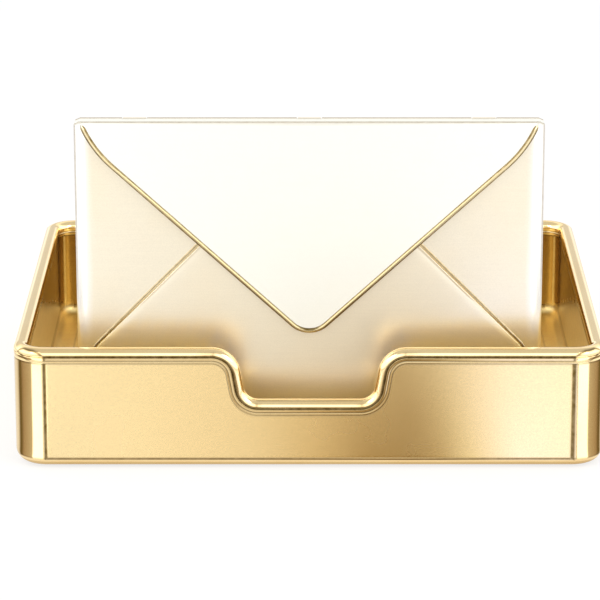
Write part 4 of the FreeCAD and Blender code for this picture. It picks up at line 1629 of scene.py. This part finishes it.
@dataclass
class BottomFlap(Envelope):
    """The tall front of the pocket, folded up from a level gusset.

    Attributes:
        crown: How far its border dips behind its middle.
        crown_fade: Distance over which it does.
    """

    crown: float = 0.26 * MM
    crown_fade: float = 0.8 * MM

    def build(self) -> None:
        """Carry a hooked section across the width, as high as the seam allows."""
        edge, base = self.pocket_edge(), self.bottom + self.fold
        beside = self.pocket_half - np.array([0.0, 0.05, 0.15, 0.3, 0.6, 1.2, 2.5]) * MM
        x = both_ways(np.concatenate([edge[2:, 0], np.linspace(0, edge[-1, 0], 24), beside]))
        tops = np.interp(np.abs(x), *edge[np.argsort(edge[:, 0], kind="stable")].T)
        tops[np.abs(x) > self.pocket_half - 1e-6] = base + self.pocket_side

        lip, middle = self.sheet / 2, (self.pocket_front + self.fold, base)
        hook = arc(middle, self.fold, -90, -180, 10)
        inner = arc(middle, self.fold - self.sheet, -180, -90, 8)
        rise = np.array([0.02, *np.linspace(0.05, 0.95, 37), 0.98, 0.995])
        z = base + np.outer(tops - lip - base, rise)
        wall = np.dstack([np.full(z.shape, self.pocket_front), z])
        cap = (arc((self.pocket_front + lip, 0.0), lip, 180, 0, 9)
               + np.column_stack([0 * x, tops - lip])[:, None])
        start, end = (np.array([(self.panel_front, height)])
                      for height in (self.bottom, self.bottom + self.sheet))
        loop = joined(len(x), start, hook, wall, cap, wall[:, ::-1] + (self.sheet, 0.0), inner,
                      end)

        side = np.clip(self.pocket_half - np.abs(x), 0, None)[:, None]
        above = np.clip(tops[:, None] - loop[:, :, 1], 0, None)
        border = np.minimum(side, above * np.cos(np.radians(self.seam_angle)))
        face = np.arange(loop.shape[1]) < 1 + len(hook) + len(rise)
        dip = self.crown * np.exp(-border / self.crown_fade)
        loop[:, :, 0] += dip * face * (loop[:, :, 1] > base)
        grid = lofted(x, loop)
        # The tray's gold is painted on the pocket's lower part as a reflection.
        piece = surface("pocket_front", grid,
                        {"painted_reflection": self.tray_reflection(grid[:, :, 0], grid[:, :, 2])})
        fit(piece, Body.ENVELOPE, PEARL, "bottom_flap")


@dataclass
class SeamPiping(Envelope):
    """The gilt ridge along each seam of the pocket."""

    ridge: float = 1.3 * MM
    height: float = 0.5 * MM

    def build(self) -> None:
        """Carry a low round ridge up the pocket's edge and along its seam."""
        route = self.seam_route(self.side_front, self.lift, np.linspace(0.2, 1, 5))
        turn = np.linspace(0, np.pi, 25)
        out = self.ridge / 2 * (1 - np.cos(turn))
        section = np.column_stack([out, self.height * np.sin(turn) ** 0.8])
        # Painted shade darkens the ridge's outer side and a thin line at its inner foot.
        deep = (groove(out - 0.88 * MM, 0.26 * MM) + 0.45 * ease(out, 0.9 * MM, 1.2 * MM)
                + 0.4 * groove(out - 0.04 * MM, 0.07 * MM))
        self.both_hands("seam_ridge", "seam_piping", carried(section, route.table()),
                        {"crease": np.clip(deep, 0, 1)}, "gilt_piping", CREAM_GILT)


@dataclass
class Flap(Envelope):
    """The pointed flap with its round piping, hung from the pin along the top.

    Attributes:
        height: Height of the flap.
        angle: Slope of its straight edges, in degrees.
        tip_radius: Radius of its tip.
        shoulder_turn: Degrees that the edge turns up near the fold.
        shoulder_reach: Half width at the fold.
        shoulder_fade: Half widths between which the piping's marks change.
        tip_width: Half width of the marks at the tip.
        thick: Thickness of the flap.
        piping: Radius of the piping.
        fold_radius: Radius of the fold.
        strip_half: Half width of the strip on top.
        end_radius: Radius of its ends.
        roll: Outer radius of the hinge's roll.
        bore: Inner radius of the roll.
        knuckle: Distance of the outer fixed knuckles from the middle one.
        gap: Half the length left free for a fixed knuckle.
        hinge: Place of the pin, (y, z).
    """

    height: float = 75.4 * MM
    angle: float = 42.4
    tip_radius: float = 9.5 * MM
    shoulder_turn: float = 27.0
    shoulder_reach: float = 79.4 * MM
    shoulder_fade: tuple[float, float] = (50.0 * MM, 72.0 * MM)
    tip_width: float = 3.2 * MM
    thick: float = 0.8 * MM
    piping: float = 0.95 * MM
    fold_radius: float = 0.35 * MM
    strip_half: float = 80.3 * MM
    end_radius: float = 1.8 * MM
    roll: float = 1.1 * MM
    bore: float = 0.52 * MM
    knuckle: float = 60.0 * MM
    gap: float = 4.3 * MM
    hinge: tuple[float, float] = (-61.8 * MM, 118.4 * MM)

    def outline(self) -> Array:
        """Trace the piping's middle from the tip to the right end of the fold.

        The straight edge and the shoulder's radius are what is left once the tip, the
        shoulder's turn and the outline's end at the fold are set.

        Returns:
            Rows of the route.
        """
        lean, top = np.radians(self.angle), np.radians(self.angle + self.shoulder_turn)
        rise = self.height - self.tip_radius * (1 - np.cos(lean))
        reach = self.shoulder_reach - self.tip_radius * np.sin(lean)
        up, out = np.cos(lean) - np.cos(top), np.sin(top) - np.sin(lean)
        shoulder = (rise * np.cos(lean) - reach * np.sin(lean)) / (
            up * np.cos(lean) - out * np.sin(lean))
        straight = (rise - shoulder * up) / np.sin(lean)
        start = np.array([0.0, self.flap_front + self.thick / 2,
                          self.top - self.height + self.piping])
        route = Route(start, AXIS_X, AXIS_Y, AXIS_Z)
        route.bend(-AXIS_Y, self.tip_radius - self.piping, self.angle, 18)
        route.run(straight, np.linspace(0.1, 1, 10))
        return route.bend(-AXIS_Y, shoulder - self.piping, self.shoulder_turn, 24).table()

    def panel(self) -> None:
        """Carry a folded section across the flap, as deep as its outline."""
        edge = self.outline()
        places = edge[edge[:, 2] < self.top - 0.6 * MM, 0]
        x = both_ways(np.append(places, np.linspace(0, 6 * MM, 5)))
        lows = np.interp(np.abs(x), edge[:, 0], edge[:, 2])[:, None]
        front, back = self.flap_front, self.flap_front + self.thick
        high = self.top - self.fold_radius
        rise = np.array([0.0, 0.01, 0.03, 0.07, 0.15, 0.3, 0.5, 0.7, 0.85, 0.93, 0.985, 0.996])
        heights = lows + (high - lows) * rise
        wall = np.dstack([np.full(heights.shape, front), heights])
        fold = arc((front + self.fold_radius, high), self.fold_radius, 180, 90, 9)
        heights = np.hstack([np.full(lows.shape, high), lows])
        behind = np.dstack([np.full(heights.shape, back), heights])
        loop = joined(len(x), wall, fold, np.array([(back, self.top)]), behind)
        # Painted shade darkens the fold.
        deep = np.zeros(loop.shape[1])
        deep[len(rise) - 1:-3] = (0.3, 0.5, 0.7, 0.9, 1.0, 1.0, 1.0, 0.9, 0.9, 0.9)
        piece = surface("flap_face", lofted(x, loop), {"crease": deep})
        fit(piece, Body.FLAP, IVORY, "flap_panel")

    def edging(self) -> None:
        """Carry the round piping from one end of the fold to the other.

        Painted shade draws a dark line along its inner side, beside the panel, and another one
        along its outer side. Inside the second, but near the shoulders, a darker satin tone is
        painted as shade over its brightest side.
        """
        right = self.outline()
        right = right[right[:, 2] < self.top - 0.7 * self.piping]
        left = right[::-1] * np.array([-1, 1, 1, -1, 1, 1, -1, 1, 1])
        table = np.vstack([left[:-1], right])
        turn = np.linspace(0, 2 * np.pi, 33)[:-1]
        section = self.piping * np.column_stack([np.cos(turn), np.sin(turn)])
        share = np.linspace(0, 1, len(table))
        taper = np.clip(np.minimum(share, 1 - share) / 0.012, 0.35, 1.0)

        # Painted shade: the dark lines on both sides and the darker satin tone over the brightest
        # side.
        height, reach = np.sin(turn), np.abs(table[:, :1])
        shoulder, tip = ease(reach, *self.shoulder_fade), groove(reach, self.tip_width)
        begin, low = 0.47 - 0.24 * shoulder - 0.5 * tip, 0.12 * (1 - shoulder)
        inner = (0.86 + 0.14 * np.maximum(tip, shoulder)) * ease(height, begin, begin + 0.12)
        outer = 0.84 * (1 - ease(height, low - 0.45, low)) * (1 - 0.65 * tip)
        masks = {"crease": np.clip(inner + outer, 0, 1),
                 "satin": ease(height, -0.3, 0.1) * (1 - shoulder)}
        piece = surface("flap_edging", carried(section, table, taper), masks)
        fit(piece, Body.FLAP, GILT, "flap_piping")

    def drooped(self, grid: Array) -> Array:
        """Round both ends of a long piece down, along a circle of the corner's radius.

        Args:
            grid: Points of the piece.

        Returns:
            The same grid with its ends lowered by r - sqrt(r^2 - d^2), d past their start.
        """
        start = self.strip_half - self.end_radius
        past = np.clip(np.abs(grid[:, :, 0]) - start, 0, 0.75 * self.end_radius)
        fall = self.end_radius - np.sqrt(self.end_radius ** 2 - past ** 2)
        return grid - fall[:, :, None] * AXIS_Z

    def strip(self) -> None:
        """Carry the flat strip along the top, from the fold back to the hinge's roll."""
        share = np.linspace(0, 1, 21)
        cuts = self.gap + np.array([-0.2, 0.1]) * MM
        x = both_ways(np.concatenate([self.strip_half * (1 - (1 - share) ** 2.2), cuts,
                                      self.knuckle - cuts, self.knuckle + cuts]))
        front, low, high = self.flap_front + self.thick, self.top - self.thick, self.top
        back = self.hinge[0] - 1.45 * MM
        y = np.concatenate([np.linspace(front, back - 1.2 * MM, 6),
                            [back - 1.0 * MM, back - 0.3 * MM, back, back, front]])
        z = np.array([high] * 8 + [high - 0.06 * MM, low, low])
        beside = np.minimum(np.abs(x), np.abs(np.abs(x) - self.knuckle)) < self.gap
        # Painted shade darkens the front edge at the fold, and the back beside the roll, most of
        # all beside the knuckles.
        deep = np.tile(0.9 * (1 - ease(y - front, 0.1 * MM, 0.7 * MM)), (len(x), 1))
        deep[:, 6:] = np.where(beside, 0.7, 0.2)[:, None]
        piece = surface("top_strip", self.drooped(lofted(x, np.column_stack([y, z]))),
                        {"crease": deep})
        fit(piece, Body.FLAP, IVORY, "flap_spine")

    def rolls(self) -> None:
        """Turn the hinge's roll about its pin, in lengths between the fixed knuckles."""
        ends = both_ways(np.array([self.gap, self.knuckle - self.gap, self.knuckle + self.gap,
                                   self.strip_half]))
        angles = np.radians(np.linspace(170, -165, 26))
        outer = np.column_stack([np.cos(angles), np.sin(angles)]) * self.roll
        inner = outer[::-1] * (self.bore / self.roll)
        neck = np.array([(-1.5 * MM, self.roll - self.thick), (-1.5 * MM, self.roll)])
        section = np.vstack([neck, outer[5:], inner[:-4]]) + self.hinge
        # Painted shade darkens the neck and part of the roll's round.
        spine = np.concatenate([[0.5, 0.5], 0.9 * (angles[5:] < np.radians(112)), np.zeros(22)])
        share = np.array([0, 0.004, 0.02, 0.1, 0.3, 0.5, 0.7, 0.9, 0.98, 0.996, 1])
        shrink = np.where(share * (1 - share) == 0, 0.94, 1.0)[:, None, None]
        loops = section.mean(axis=0) + (section - section.mean(axis=0)) * shrink
        for index, (low, high) in enumerate(ends.reshape(4, 2), start=1):
            grid = self.drooped(lofted(low + (high - low) * share, loops))
            piece = surface(f"hinge_roll_{index}", grid, {"crease": spine})
            fit(piece, Body.FLAP, PEARL, "flap_spine")

    def build(self) -> None:
        """Make the flap's face and edging, the strip on top and the hinge's roll."""
        self.panel()
        self.edging()
        self.strip()
        self.rolls()


@dataclass
class Backing:
    """The envelope's back panel and the pin that its flap turns on."""

    def build(self) -> None:
        """Dress both nodes as they are."""
        keep(PEARL, "back_panel")
        keep(GILT, "hinge_pin")


def main() -> None:
    """Build the studio and every sub-assembly in order."""
    logging.basicConfig(level=logging.INFO, format="%(name)s: %(message)s")
    for assembly in (Studio(), RimMoulding(), OuterShell(), InnerTub(), BaseFittings(),
                     SideFlap(), BottomFlap(), SeamPiping(), Backing(), Flap()):
        log.info("building %s", type(assembly).__name__)
        assembly.build()


if __name__ == "__main__":
    main()
